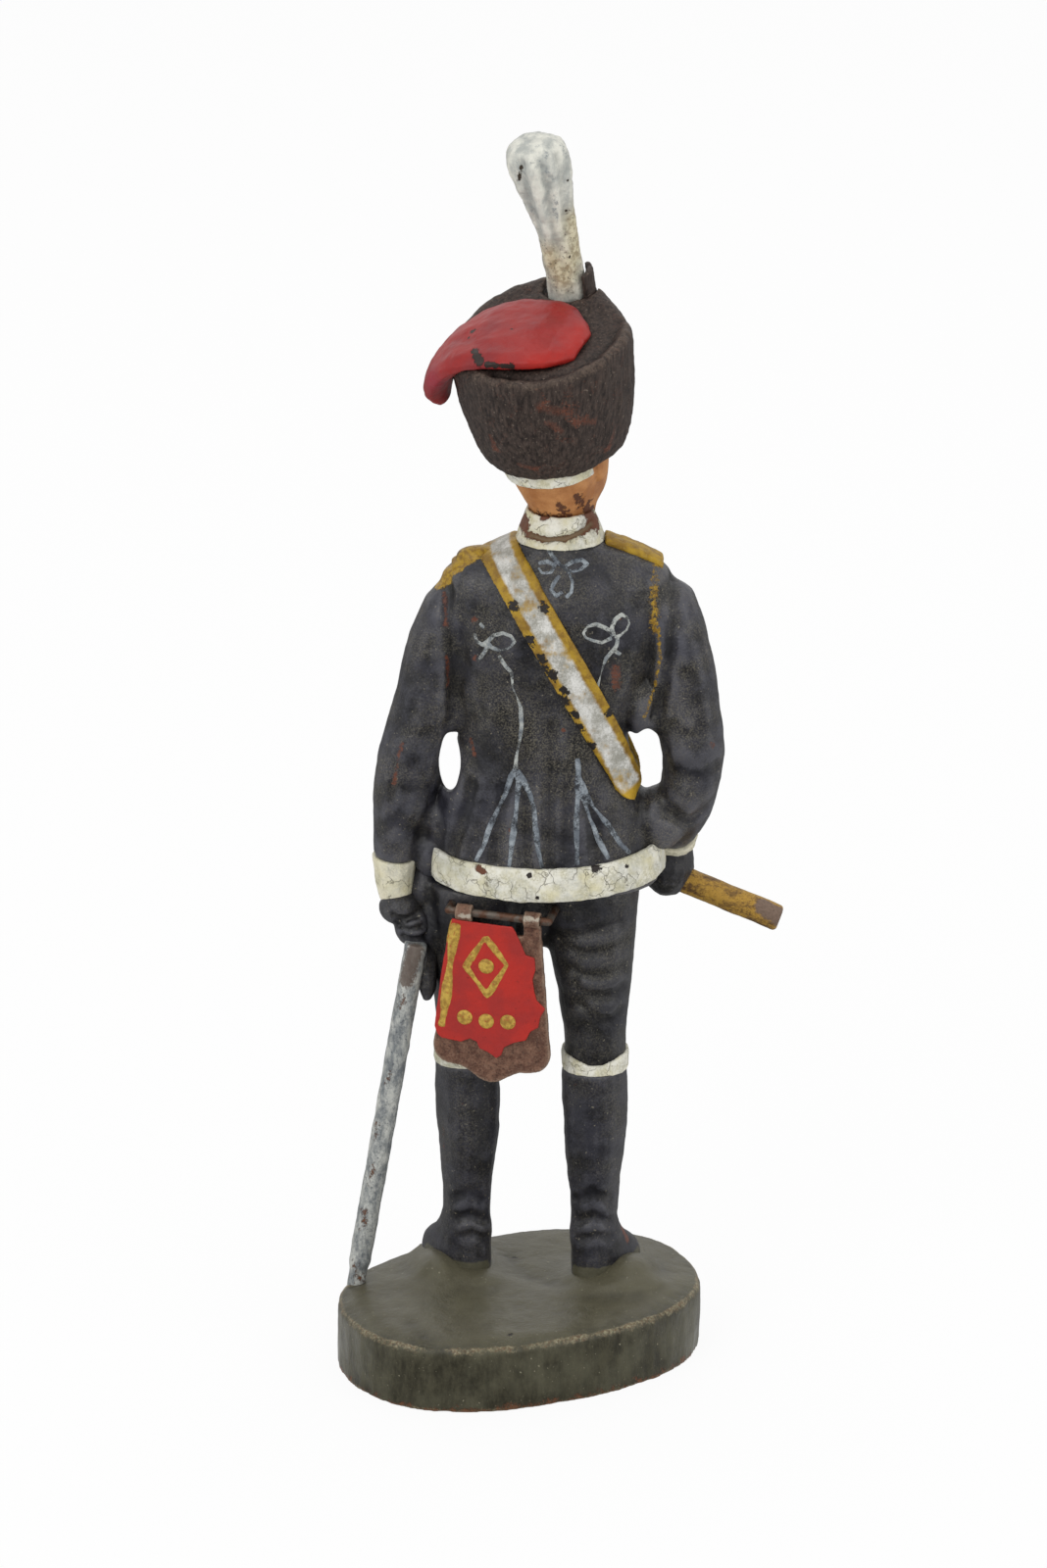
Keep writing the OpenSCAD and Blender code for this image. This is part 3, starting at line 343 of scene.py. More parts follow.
def far_from(points, path):
    """How far each point lies from a path of straight stretches."""
    nearest = np.full(len(points), np.inf)
    path = np.array([tuple(p) for p in path])
    for start, end in zip(path[:-1], path[1:]):
        along = end - start
        share = np.clip((points - start) @ along / max(along @ along, 1e-18), 0, 1)
        nearest = np.minimum(nearest, np.linalg.norm(points - start - share[:, None] * along, axis=1))
    return nearest


def soft_stroke(piece, path, width):
    """1 on a path of points, and less away from it, as a bell of a width in millimetres."""
    return np.exp(-(far_from(points_of(piece), path) / (width * MM)) ** 2)


print("tools for points ready")

# %% Creases


def dent(piece, path, width, depth):
    """Presses a crease along a path of points. A depth below zero raises a fold instead."""
    depths = depth * MM * soft_stroke(piece, path, width)
    move_points(piece, points_of(piece) - normals_of(piece) * depths[:, None])


def press(piece, *strokes):
    """Presses creases along paths of pixels, each given with its width and depth."""
    for pixels, width, depth in strokes:
        dent(piece, on_surface(piece, pixels), width, depth)


print("tools for creases ready")

# %% Layers and stains


def layer_of(piece, layer):
    """The values of a layer, all zero before the first stroke."""
    values = np.zeros(len(piece.data.vertices))
    if layer in piece.data.attributes:
        piece.data.attributes[layer].data.foreach_get("value", values)
    return values


def keep_layer(piece, layer, values):
    """Stores one value per point under a name."""
    if layer not in piece.data.attributes:
        piece.data.attributes.new(layer, "FLOAT", "POINT")
    piece.data.attributes[layer].data.foreach_set("value", values.astype(np.float32))


def add_to_layer(piece, layer, values):
    """Brings a layer up to some values where it is lower."""
    keep_layer(piece, layer, np.maximum(layer_of(piece, layer), values))


def stain(piece, layer, strength, *strokes):
    """Paints soft strokes of one strength into a layer, each given as its pixels and its width."""
    for pixels, width in strokes:
        path = on_surface(piece, pixels)
        path = path * 2 if len(path) == 1 else path
        add_to_layer(piece, layer, strength * soft_stroke(piece, path, width))


print("tools for stains ready")

# %% Lumps and relief


def neighbour_mean(piece, values, rounds):
    """Rows of values per point, each evened out with its neighbours some times."""
    ends = np.zeros(len(piece.data.edges) * 2, np.int32)
    piece.data.edges.foreach_get("vertices", ends)
    first, second = ends.reshape(-1, 2).T
    count = len(piece.data.vertices)
    degree = np.maximum(np.bincount(first, minlength=count) + np.bincount(second, minlength=count), 1)
    for _ in range(rounds):
        values = np.stack([
            (np.bincount(first, row[second], count) + np.bincount(second, row[first], count)) / degree
            for row in values.T
        ], axis=1)
    return values


def lumps(piece, *sizes):
    """Unevenness of hand work: soft lumps, each given as a size and a height in millimetres."""
    for size, height in sizes:
        cloud = bpy.data.textures.new(piece.name, "CLOUDS")
        cloud.noise_scale = size * MM
        work(piece, "DISPLACE", texture=cloud, texture_coords="LOCAL", strength=height * MM, mid_level=0.5)


def keep_relief(piece, rounds):
    """Stores how far each point stands proud of its surroundings, in millimetres. Hollows are below zero."""
    points = points_of(piece)
    calm = neighbour_mean(piece, points, rounds)
    keep_layer(piece, "relief", ((points - calm) * normals_of(piece)).sum(axis=1) / MM)


def weather(piece, rounds, *sizes):
    """Makes a piece lumpy and stores its relief."""
    lumps(piece, *sizes)
    keep_relief(piece, rounds)


print("tools for relief ready")

# %% [markdown]
# ## Finishes
# Old toy paint is never one colour: it is brushed on unevenly, rubs off edges, chips down to the brown dough
# and gathers dust. Light is painted in too: painted shade darkens the hollows, and painted highlights lighten
# many high places. Each finish below starts from a ground colour and lays coats over it. Where a coat shows
# is decided by noise measured in millimetres, by an edge that turns noise into chips, and by the layers that
# the skins carry, such as their relief.

# %% Tools for finishes


def colour(red, green, blue):
    """A screen colour, from 0 to 255, as the linear light that a shader takes."""
    shares = [c / 255 for c in (red, green, blue)]
    return tuple(c / 12.92 if c <= 0.04045 else ((c + 0.055) / 1.055) ** 2.4 for c in shares)


class Finish:
    """A paint or metal in the making. Its patterns are measured in millimetres on the object."""

    def __init__(self, name, ground):
        self.material = bpy.data.materials.new(name)
        self.material.use_nodes = True
        self.tree = self.material.node_tree
        self.shader = self.tree.nodes["Principled BSDF"]
        self.place = self.tree.nodes.new("ShaderNodeTexCoord").outputs["Object"]
        self.tone = ground

    def feed(self, socket, value):
        """Links a socket or sets it. A colour is given as three numbers."""
        if isinstance(value, bpy.types.NodeSocket):
            self.tree.links.new(value, socket)
        elif socket.type == "RGBA":
            socket.default_value = (*colour(*value), 1)
        else:
            socket.default_value = value

    def add(self, kind, inputs, output=0, **settings):
        """A new node with its inputs fed, and the output that is asked for."""
        node = self.tree.nodes.new("ShaderNode" + kind)
        for name, value in settings.items():
            setattr(node, name, value)
        for name, value in inputs.items():
            self.feed(node.inputs[name], value)
        return node.outputs[output]

    def spread(self, size, stretch, shift):
        """Places on the object, counted in steps of a size."""
        scale = tuple(1 / (size * MM * s) for s in stretch)
        return self.add("Mapping", {"Vector": self.place, "Scale": scale, "Location": (shift, shift, shift)})

    def noise(self, size, detail=3, rough=0.55, stretch=(1, 1, 1), shift=0.0):
        """Soft noise from 0 to 1 whose features are about as large as size."""
        where = self.spread(size, stretch, shift)
        return self.add("TexNoise", {"Vector": where, "Scale": 1, "Detail": detail, "Roughness": rough})

    def cracks(self, size, waver):
        """The distance to the nearest crack of a net of cracks."""
        plain = (1, 1, 1)
        wander = self.add("TexNoise", {"Vector": self.spread(size / 2, plain, 7), "Scale": 1}, "Color")
        bent = self.add("VectorMath", {0: wander, 1: (waver, waver, waver)}, operation="MULTIPLY")
        where = self.add("VectorMath", {0: self.spread(size, plain, 0), 1: bent}, operation="ADD")
        return self.add("TexVoronoi", {"Vector": where, "Scale": 1}, "Distance", feature="DISTANCE_TO_EDGE")

    def layer(self, name):
        """A layer that the skin carries."""
        return self.add("Attribute", {}, "Fac", attribute_name=name)

    def math(self, operation, first, second):
        """Two values worked into one."""
        return self.add("Math", {0: first, 1: second}, operation=operation)

    def times(self, first, second):
        """The product of two values."""
        return self.math("MULTIPLY", first, second)

    def most(self, first, second):
        """The larger of two values."""
        return self.math("MAXIMUM", first, second)

    def total(self, *terms):
        """The sum of some values. A term is a value, or a pair of a value and its share."""
        values = [self.times(*term) if isinstance(term, tuple) else term for term in terms]
        result = values[0]
        for value in values[1:]:
            result = self.math("ADD", result, value)
        return result

    def range(self, value, low, high):
        """A value from 0 to 1 brought to a range."""
        return self.add("MapRange", {"Value": value, "To Min": low, "To Max": high})

    def ramp(self, edge, soft, terms, low, high):
        """A soft step from low to high where the sum of some terms passes an edge."""
        ends = {"From Min": edge - soft, "From Max": edge + soft, "To Min": low, "To Max": high}
        return self.add("MapRange", {"Value": self.total(*terms), **ends}, interpolation_type="SMOOTHSTEP")

    def above(self, edge, soft, *terms):
        """1 where the sum of some terms is over an edge."""
        return self.ramp(edge, soft, terms, 0, 1)

    def below(self, edge, soft, *terms):
        """1 where the sum of some terms is under an edge."""
        return self.ramp(edge, soft, terms, 1, 0)

    def chipped(self, edge, size, shift, soft=0.03, layer="chip", share=0.75):
        """1 in ragged chips, which crowd where a layer of the skin is stained."""
        ragged = self.noise(size, 5, 0.7, shift=shift)
        return self.above(edge, soft, ragged, (self.layer(layer), share))

    def mix(self, share, under, top):
        """A colour laid over another by a share."""
        return self.add("Mix", {0: share, 6: under, 7: top}, 2, data_type="RGBA")

    def coat(self, where, paint, share=1):
        """Lays a paint over what is there so far, by a share, where a pattern is 1."""
        self.tone = self.mix(where if share == 1 else self.times(where, share), self.tone, paint)

    def finish(self, rough, height, deep, specular, metallic=0.0):
        """Feeds the shader. The height is a bump, deep millimetres at most."""
        bump = self.add("Bump", {"Height": height, "Distance": deep * MM, "Strength": 1}, "Normal")
        for name, value in (
            ("Base Color", self.tone),
            ("Roughness", rough),
            ("Specular IOR Level", specular),
            ("Metallic", metallic),
            ("Normal", bump),
        ):
            self.feed(self.shader.inputs[name], value)
        return self.material


print("tools for finishes ready")

# %% [markdown]
# ### Dark cloth paint
# Jacket, breeches, sleeves, gloves and boots are one satin blue-black. It is rubbed grey on high places,
# which also carry a painted highlight, darkened with painted shade in hollows, dusty in between, and chipped
# to red-brown dough where fingers and seams wear it.

# %% Dark cloth paint
mustard = (170, 136, 36)
deep_mustard = (128, 96, 26)


def dark_paint(name, dark, light, dust_share, rub_and_highlight_share=0.4):
    """Satin dark paint with rubbed folds under a painted highlight, painted shade in hollows, dust and chips.
    Layers carry gold and olive overpainting.
    """
    f = Finish(name, dark)
    relief = f.layer("relief")
    fine = f.noise(0.17, 5, 0.72)
    f.coat(f.above(0.68, 0.2, f.noise(2.0, 4, 0.6), (fine, 0.3)), light)
    # Rubbed grey on high places: worn paint, with a painted highlight over it.
    f.coat(f.above(0.11, 0.045, relief, (fine, 0.12)), (100, 100, 108), rub_and_highlight_share)
    patches = f.above(0.5, 0.14, f.noise(3.2, 3, 0.6, shift=3))
    region = f.most(f.times(patches, 0.6), f.layer("dust"))
    dusty = f.times(region, f.above(0.53, 0.1, f.noise(0.13, 4, 0.8, shift=8)))
    f.coat(dusty, (126, 120, 104), dust_share)
    f.coat(f.above(0.72, 0.03, f.noise(0.24, 2, 0.5, shift=31)), (150, 142, 122), 0.55)
    chip = f.above(1.03, 0.08, f.layer("chip"), f.noise(0.3, 5, 0.75, shift=5))
    f.coat(chip, f.mix(f.noise(0.35, 4), (72, 40, 30), (132, 76, 52)), 0.85)
    # Near-black in hollows: painted shade.
    f.coat(f.below(-0.06, 0.07, relief, (fine, 0.05)), (13, 12, 12), 0.65)
    olive = f.above(0.82, 0.08, f.layer("olive"), (f.noise(0.5, 5, 0.7, shift=2), 0.6))
    f.coat(olive, f.mix(f.noise(0.5, 4), (70, 68, 54), (96, 93, 76)))
    gold = f.above(1.0, 0.06, f.layer("gold"), f.noise(0.36, 5, 0.8, shift=12))
    f.coat(gold, f.mix(f.above(0.5, 0.12, f.noise(0.3, 4, 0.7)), mustard, deep_mustard))
    height = f.total(f.noise(0.3, 5, 0.65), (f.math("SUBTRACT", gold, chip), 0.4))
    return f.finish(f.range(f.noise(0.8, 4), 0.22, 0.42), height, 0.05, 0.34)


jacket_paint = dark_paint("jacket_paint", (16, 16, 20), (48, 48, 56), 0.72)
breeches_paint = dark_paint("breeches_paint", (12, 12, 15), (34, 34, 40), 0.5, 0.2)
boot_paint = dark_paint("boot_paint", (22, 22, 27), (46, 46, 54), 0.38)
glove_paint = dark_paint("glove_paint", (20, 20, 23), (38, 38, 43), 0.4)
print("dark paints made")

# %% [markdown]
# ### Cracked white
# The fur trims are thick white paint, gone cream with handling, mottled grey-green and crazed with fine dark
# cracks. A few chips show black. Their hollows are darkened with painted shade.

# %% Cracked white


def cracked_white(name, paint, dirt_share):
    """Thick white paint with dirt, fine cracks, chips, and painted shade in hollows."""
    f = Finish(name, paint)
    fine = f.noise(0.16, 5, 0.75)
    f.coat(f.above(0.52, 0.14, f.noise(1.5, 4, 0.6)), (214, 208, 176))
    blue = f.times(f.above(0.55, 0.1, f.noise(2.6, 3, 0.6, shift=17)), f.above(0.42, 0.15, fine))
    f.coat(f.most(blue, f.layer("blue")), (158, 162, 160), 0.45)
    grimy = f.times(f.above(0.5, 0.12, f.noise(0.9, 4, 0.65, shift=9)), f.above(0.5, 0.14, fine))
    f.coat(grimy, (150, 144, 106), dirt_share)
    net = f.below(0.012, 0.012, f.cracks(1.5, 0.9))
    crack = f.times(net, f.above(0.5, 0.06, f.noise(1.7, 3, 0.6, shift=2)))
    f.coat(crack, (92, 82, 62), 0.6)
    chip = f.chipped(0.77, 0.3, 14)
    f.coat(chip, (40, 34, 31))
    brown = f.chipped(0.82, 0.35, 4, soft=0.05, layer="brown")
    f.coat(brown, f.mix(fine, (74, 44, 32), (120, 74, 50)))
    # Darker cream in hollows: painted shade.
    f.coat(f.below(-0.04, 0.05, f.layer("relief")), (130, 120, 92), 0.5)
    height = f.total(f.noise(0.3, 5, 0.65), (f.most(f.most(crack, chip), brown), -0.8))
    return f.finish(f.range(f.noise(0.7), 0.4, 0.65), height, 0.07, 0.3)


trim_paint = cracked_white("trim_paint", (230, 228, 216), 0.55)
cuff_paint = cracked_white("cuff_paint", (228, 222, 198), 0.4)
print("white paints made")

# %% [markdown]
# ### Belt, cords and braid
# The belt is mustard with a silver stripe down its middle. The stripe's place is a layer on the belt's skin,
# 0 in the middle and 1 at the edges, so it follows the slant round the body.

# %% Belt


def belt_finish():
    """Mustard with a brushed silver stripe, painted highlights, dirt and dark chips."""
    f = Finish("belt_paint", mustard)
    fine = f.noise(0.14, 5, 0.75)
    f.coat(f.above(0.72, 0.15, f.noise(1.0, 4), (fine, 0.4)), deep_mustard)
    # Brighter mustard where the layer is stained: painted highlight.
    f.coat(f.layer("painted_highlight"), (204, 164, 40), 0.7)
    middle = f.below(0.66, 0.09, f.layer("across"), (f.noise(0.5, 4, 0.65), 0.3))
    stripe = f.times(middle, f.below(0.5, 0.2, f.layer("bare")))
    thin = f.above(0.86, 0.1, f.noise(1.4, 3, 0.6, shift=4), (fine, 0.5))
    stripe = f.times(stripe, f.math("SUBTRACT", 1.0, f.times(thin, 0.85)))
    # Lighter silver in soft patches along the stripe: painted highlights.
    painted_highlight = f.above(0.66, 0.14, (f.noise(1.2, 3, shift=2), 0.7), (fine, 0.6))
    f.coat(stripe, f.mix(painted_highlight, (150, 148, 138), (216, 215, 210)))
    chip = f.chipped(0.78, 0.4, 21)
    f.coat(chip, (36, 31, 28))
    height = f.total(f.noise(0.25, 5, 0.65), (chip, -0.9))
    return f.finish(f.range(f.noise(0.5), 0.36, 0.55), height, 0.07, 0.35)


belt_paint = belt_finish()
print("belt paint made")

# %% Cords and braid


def cord_finish():
    """Plain mustard with dirt and chips."""
    f = Finish("cord_paint", mustard)
    fine = f.noise(0.14, 5, 0.75)
    f.coat(f.above(0.7, 0.15, f.noise(0.9, 4), (fine, 0.4)), deep_mustard)
    f.coat(f.above(0.6, 0.08, fine), (200, 176, 96), 0.45)
    f.coat(f.chipped(0.72, 0.4, 8, soft=0.04), (38, 33, 29))
    return f.finish(0.5, f.noise(0.25, 5, 0.65), 0.06, 0.3)


cord_paint = cord_finish()
print("cord paint made")


def braid_finish(name, pale, dull):
    """Thin grey-white lines, broken where the paint has rubbed off."""
    f = Finish(name, pale)
    fine = f.noise(0.12, 5, 0.8)
    f.coat(f.above(0.74, 0.16, f.noise(0.8, 4), (fine, 0.5)), dull)
    f.coat(f.above(0.78, 0.08, f.noise(1.0, 5, 0.75, shift=3), (fine, 0.5)), (32, 32, 36), 0.85)
    return f.finish(0.5, f.noise(0.2, 4, 0.7), 0.04, 0.2)


braid_paint = braid_finish("braid_paint", (180, 183, 178), (120, 126, 130))
dull_braid = braid_finish("dull_braid_paint", (154, 162, 168), (100, 107, 115))
print("braid paints made")

# %% [markdown]
# ### Skin, fur and feather
# The flesh is tan with brown flakes. The fur cap is brown-black, streaked downwards like hair and worn to
# red-brown. The bag is a clear red with black chips, and the plume silver over grey, yellowed at its foot.
# All four carry painted shade in their hollows, and cap, bag and plume painted highlights.

# %% Flesh


def flesh_finish():
    """Tan paint with warm cheeks, flaked patches and painted shade in hollows. Layers carry the painted
    features.
    """
    painted = {
        "blush": ((196, 98, 72), 0.45),
        "shade": ((122, 74, 44), 0.7),
        "lips": ((150, 66, 54), 1),
        "white": ((226, 220, 204), 1),
        "dark": ((44, 31, 26), 1),
    }
    f = Finish("flesh_paint", (192, 136, 84))
    fine = f.noise(0.16, 5, 0.75)
    f.coat(f.above(0.66, 0.2, f.noise(1.6, 3), (fine, 0.3)), (160, 104, 58))
    for layer, (paint, share) in painted.items():
        f.coat(f.layer(layer), paint, share)
    flake = f.chipped(0.8, 0.4, 2)
    f.coat(flake, f.mix(fine, (58, 34, 25), (116, 70, 46)))
    # Darker tan in hollows: painted shade.
    f.coat(f.below(-0.04, 0.05, f.layer("relief")), (110, 64, 38), 0.4)
    height = f.total(f.noise(0.3, 5, 0.6), (flake, -1.2))
    return f.finish(f.range(f.noise(0.6), 0.4, 0.6), height, 0.06, 0.3)


flesh_paint = flesh_finish()
print("flesh paint made")

# %% Fur


def fur_finish():
    """Brown-black fur paint with downward streaks, worn patches, painted highlights and painted shade."""
    f = Finish("fur_paint", (36, 30, 28))
    relief = f.layer("relief")
    fine = f.noise(0.14, 5, 0.75)
    streak = f.noise(0.22, 4, 0.65, stretch=(1, 1, 7))
    f.coat(f.above(0.5, 0.22, streak), (78, 66, 60))
    patch = f.times(f.above(0.55, 0.06, f.noise(1.4, 4, 0.65, shift=12)), f.above(0.5, 0.1, fine))
    worn = f.above(0.42, 0.16, (patch, 0.4), (f.layer("chip"), f.range(fine, 0.3, 1.6)))
    f.coat(worn, f.mix(f.noise(0.4, 4), (86, 48, 38), (122, 74, 56)), 0.85)
    # Lighter grey-brown on high places: worn paint, with a painted highlight over it.
    f.coat(f.above(0.26, 0.05, relief, (fine, 0.34)), (112, 96, 84), 0.5)
    # Near-black in hollows: painted shade.
    f.coat(f.below(-0.05, 0.06, relief), (15, 12, 11), 0.65)
    f.coat(f.above(0.67, 0.03, f.noise(0.18, 3, shift=40)), (146, 132, 118), 0.45)
    return f.finish(f.range(streak, 0.4, 0.62), f.total(streak, (fine, 0.7)), 0.08, 0.16)


fur_paint = fur_finish()
print("fur paint made")

# %% Bag's red


def bag_finish():
    """Clear red with a bluish bloom on one side and black chips, a painted highlight, and painted shade in
    folds.
    """
    f = Finish("bag_paint", (150, 36, 33))
    f.coat(f.above(0.5, 0.2, f.noise(2.6, 3)), (130, 40, 42))
    f.coat(f.layer("bloom"), (146, 38, 56), 0.75)
    # Brighter red where the layer is stained: painted highlight.
    f.coat(f.layer("painted_highlight"), (174, 36, 26), 0.7)
    f.coat(f.above(0.62, 0.06, f.noise(0.16, 5, 0.75)), (120, 34, 32), 0.3)
    chip = f.chipped(0.83, 0.3, 9)
    f.coat(chip, (44, 34, 30))
    # Darker red in folds and hollows: painted shade.
    f.coat(f.below(-0.06, 0.05, f.layer("relief")), (96, 26, 26), 0.5)
    height = f.total(f.noise(0.6, 4), (chip, -1.0))
    return f.finish(f.range(f.noise(0.9), 0.34, 0.5), height, 0.06, 0.28)


bag_paint = bag_finish()
print("bag paint made")

# %% Plume's silver


def plume_finish():
    """Silver-white over grey with dark pits and a cream foot; painted shade in flutes, painted highlights on
    ridges.
    """
    f = Finish("plume_paint", (222, 221, 210))
    relief = f.layer("relief")
    fine = f.noise(0.15, 5, 0.75)
    f.coat(f.above(0.68, 0.15, f.noise(0.9, 4, stretch=(1, 1, 2.5)), (fine, 0.35)), (172, 175, 170))
    cream = f.mix(f.above(0.7, 0.1, f.noise(0.5, 4), (fine, 0.4)), (214, 204, 166), (158, 138, 94))
    f.coat(f.layer("foot"), cream, 0.9)
    # Grey in the flutes: painted shade.
    f.coat(f.below(-0.03, 0.08, relief), (132, 136, 132), 0.6)
    # Brighter white on the ridges: painted highlight.
    f.coat(f.above(0.06, 0.08, relief), (234, 232, 220), 0.45)
    slate = f.above(0.98, 0.1, f.layer("blue"), (f.noise(0.35, 5, 0.75, shift=6), 0.9))
    f.coat(slate, f.mix(fine, (74, 84, 94), (128, 138, 142)), 0.85)
    pits = f.times(f.above(0.64, 0.03, f.noise(0.2, 4, 0.65, shift=4)), f.above(0.3, 0.3, f.layer("foot")))
    chip = f.chipped(0.8, 0.28, 7, share=0.7)
    pit = f.most(f.times(pits, 0.75), chip)
    f.coat(pit, (60, 50, 38))
    height = f.total(f.noise(0.3, 5, 0.65), (pit, -1.0))
    return f.finish(f.range(f.noise(0.6), 0.32, 0.55), height, 0.08, 0.35)


plume_paint = plume_finish()
print("plume paint made")

# %% [markdown]
# ### Base and metals
# The base is brushed olive, pale along its top edge with painted highlight over scuffs, its top face painted
# lighter as light from above, and worn brown at the foot. The pouch is tin that has rusted, its facing a
# sheet of red paint. Scabbard and rod are metal under worn silver and gold.

# %% Base's olive


def olive_finish():
    """Brushed olive with painted light: a lighter top face and a pale top edge over scuffs. Brown at the
    foot, painted shade in hollows.
    """
    f = Finish("olive_paint", (44, 42, 31))
    relief = f.layer("relief")
    fine = f.noise(0.17, 5, 0.75)
    brush = f.noise(0.45, 5, 0.7, stretch=(1.5, 1.5, 4))
    f.coat(f.above(0.65, 0.2, brush, (fine, 0.3)), (72, 69, 53))
    f.coat(f.above(0.52, 0.14, f.noise(3.2, 4, shift=4)), (98, 96, 78), 0.45)
    # Lighter olive on the top face: painted light from above.
    f.coat(f.layer("top"), (96, 92, 74), 0.6)
    # Pale along high edges: painted highlight, broken by brown scuffs where the dough shows.
    edge = f.above(0.27, 0.04, relief, (f.noise(0.3, 5, 0.8, shift=6), 0.26))
    f.coat(edge, f.mix(f.above(0.5, 0.1, fine), (156, 150, 122), (104, 78, 54)), 0.75)
    worn = f.above(0.9, 0.06, (f.layer("low"), 0.45), f.noise(0.9, 5, 0.75, shift=8))
    f.coat(worn, f.mix(fine, (84, 52, 34), (134, 88, 58)), 0.8)
    chip = f.chipped(0.8, 0.35, 3, share=0.7)
    f.coat(chip, (38, 31, 24))
    f.coat(f.above(0.73, 0.03, f.noise(0.2, 2, shift=50)), (168, 162, 138), 0.7)
    # Dark olive in hollows: painted shade.
    f.coat(f.below(-0.05, 0.06, relief), (30, 28, 21), 0.55)
    height = f.total(brush, (f.most(chip, worn), -0.8))
    return f.finish(f.range(brush, 0.28, 0.5), height, 0.08, 0.28)


olive_paint = olive_finish()
print("olive paint made")

# %% Tin, red enamel and gold


def rust_finish():
    """Rusted tin: brown, mottled, with pale rubbed edges."""
    f = Finish("rusty_tin", (82, 52, 40))
    fine = f.noise(0.14, 5, 0.8)
    f.coat(f.above(0.75, 0.2, f.noise(0.7, 5, 0.65), (fine, 0.5)), (126, 92, 74))
    f.coat(f.above(0.58, 0.06, f.noise(0.2, 4, 0.7, shift=5)), (54, 36, 29), 0.6)
    f.coat(f.above(0.12, 0.05, f.layer("relief"), (fine, 0.16)), (166, 146, 126), 0.55)
    f.coat(f.above(1.02, 0.1, f.layer("pale"), f.noise(0.3, 5, 0.75, shift=2)), (190, 182, 166), 0.8)
    return f.finish(f.range(f.noise(0.4), 0.5, 0.75), f.noise(0.22, 5, 0.75), 0.09, 0.3, 0.1)


def facing_finish():
    """Red enamel, flat and a little glossy, with small dark specks."""
    f = Finish("red_enamel", (178, 42, 33))
    f.coat(f.above(0.5, 0.2, f.noise(1.8, 3)), (158, 42, 38))
    f.coat(f.above(0.62, 0.05, f.noise(0.16, 5, 0.75)), (128, 34, 28), 0.35)
    f.coat(f.above(0.7, 0.03, f.noise(0.2, 3, shift=3)), (84, 30, 26), 0.7)
    return f.finish(f.range(f.noise(0.8), 0.34, 0.5), f.noise(0.4, 5), 0.04, 0.28)


def ornament_finish():
    """Dull gold, rubbed through to red."""
    f = Finish("ornament_gold", (196, 164, 70))
    fine = f.noise(0.14, 5, 0.75)
    f.coat(f.above(0.7, 0.15, f.noise(0.4, 4), (fine, 0.4)), (148, 112, 40))
    f.coat(f.above(0.78, 0.06, f.noise(0.3, 4, 0.7, shift=5), (fine, 0.3)), (172, 56, 38))
    return f.finish(0.46, fine, 0.04, 0.35)


rusty_tin = rust_finish()
red_enamel = facing_finish()
ornament_gold = ornament_finish()
print("tin, enamel and gold made")

# %% Scabbard, rod and wire


def scabbard_finish():
    """Silvered iron with dark mottling and rust chips."""
    f = Finish("scabbard_silver", (196, 197, 191))
    fine = f.noise(0.14, 5, 0.75, stretch=(1, 1, 1.8))
    cloudy = f.noise(0.8, 4, 0.65, stretch=(1, 1, 2.2))
    f.coat(f.above(0.74, 0.2, cloudy, (fine, 0.5)), (112, 117, 120))
    flecked = f.above(0.48, 0.08, f.noise(1.1, 3, shift=9))
    f.coat(f.times(f.above(0.58, 0.05, f.noise(0.24, 5, 0.75, shift=4)), flecked), (78, 84, 92), 0.75)
    ragged = f.noise(0.4, 5, 0.8, stretch=(1, 1, 1.6), shift=8)
    chip = f.above(0.72, 0.05, ragged, (f.layer("chip"), 0.45))
    f.coat(chip, f.mix(fine, (76, 48, 36), (132, 90, 64)))
    brown = f.above(0.95, 0.12, f.layer("brown"), (fine, 0.9))
    f.coat(brown, f.mix(fine, (58, 46, 40), (112, 92, 78)), 0.85)
    height = f.total(f.noise(0.22, 5, 0.7), (chip, -0.8))
    return f.finish(f.range(f.noise(0.4), 0.34, 0.55), height, 0.08, 0.4, 0.2)


def baton_finish():
    """Gold rubbed down to brown, bare at the outer end."""
    f = Finish("baton_gold", (84, 58, 32))
    fine = f.noise(0.14, 5, 0.8, stretch=(1.6, 1, 1))
    kept = f.above(0.7, 0.14, f.noise(0.8, 5, 0.75, stretch=(2, 1, 1), shift=3), (fine, 0.5))
    f.coat(kept, f.mix(fine, (140, 102, 34), (194, 154, 64)))
    bare = f.above(0.95, 0.1, f.layer("bare"), (f.noise(0.5, 5, 0.75), 0.7))
    f.coat(bare, f.mix(fine, (84, 66, 54), (136, 114, 98)))
    f.coat(f.above(0.62, 0.05, f.noise(0.18, 4, 0.7, shift=9)), (46, 33, 22), 0.6)
    return f.finish(f.range(f.noise(0.4), 0.4, 0.62), f.noise(0.25, 5, 0.7), 0.08, 0.35, 0.15)


def wire_finish():
    """Drawn iron wire, grey with brown stains."""
    f = Finish("iron_wire", (96, 88, 80))
    f.coat(f.above(0.52, 0.1, f.noise(0.6, 4)), (84, 56, 40))
    return f.finish(0.5, f.noise(0.2, 3), 0.03, 0.4, 0.5)


scabbard_silver = scabbard_finish()
baton_gold = baton_finish()
iron_wire = wire_finish()
print("scabbard, rod and wire finishes made")

# %% [markdown]
# ## Base
# The slab is cast with low mounds that the boots stand in. More dough is laid against the feet, and all of it
# is softened until it runs out into the slab as if poured. Shallow lumps take away the machine look.

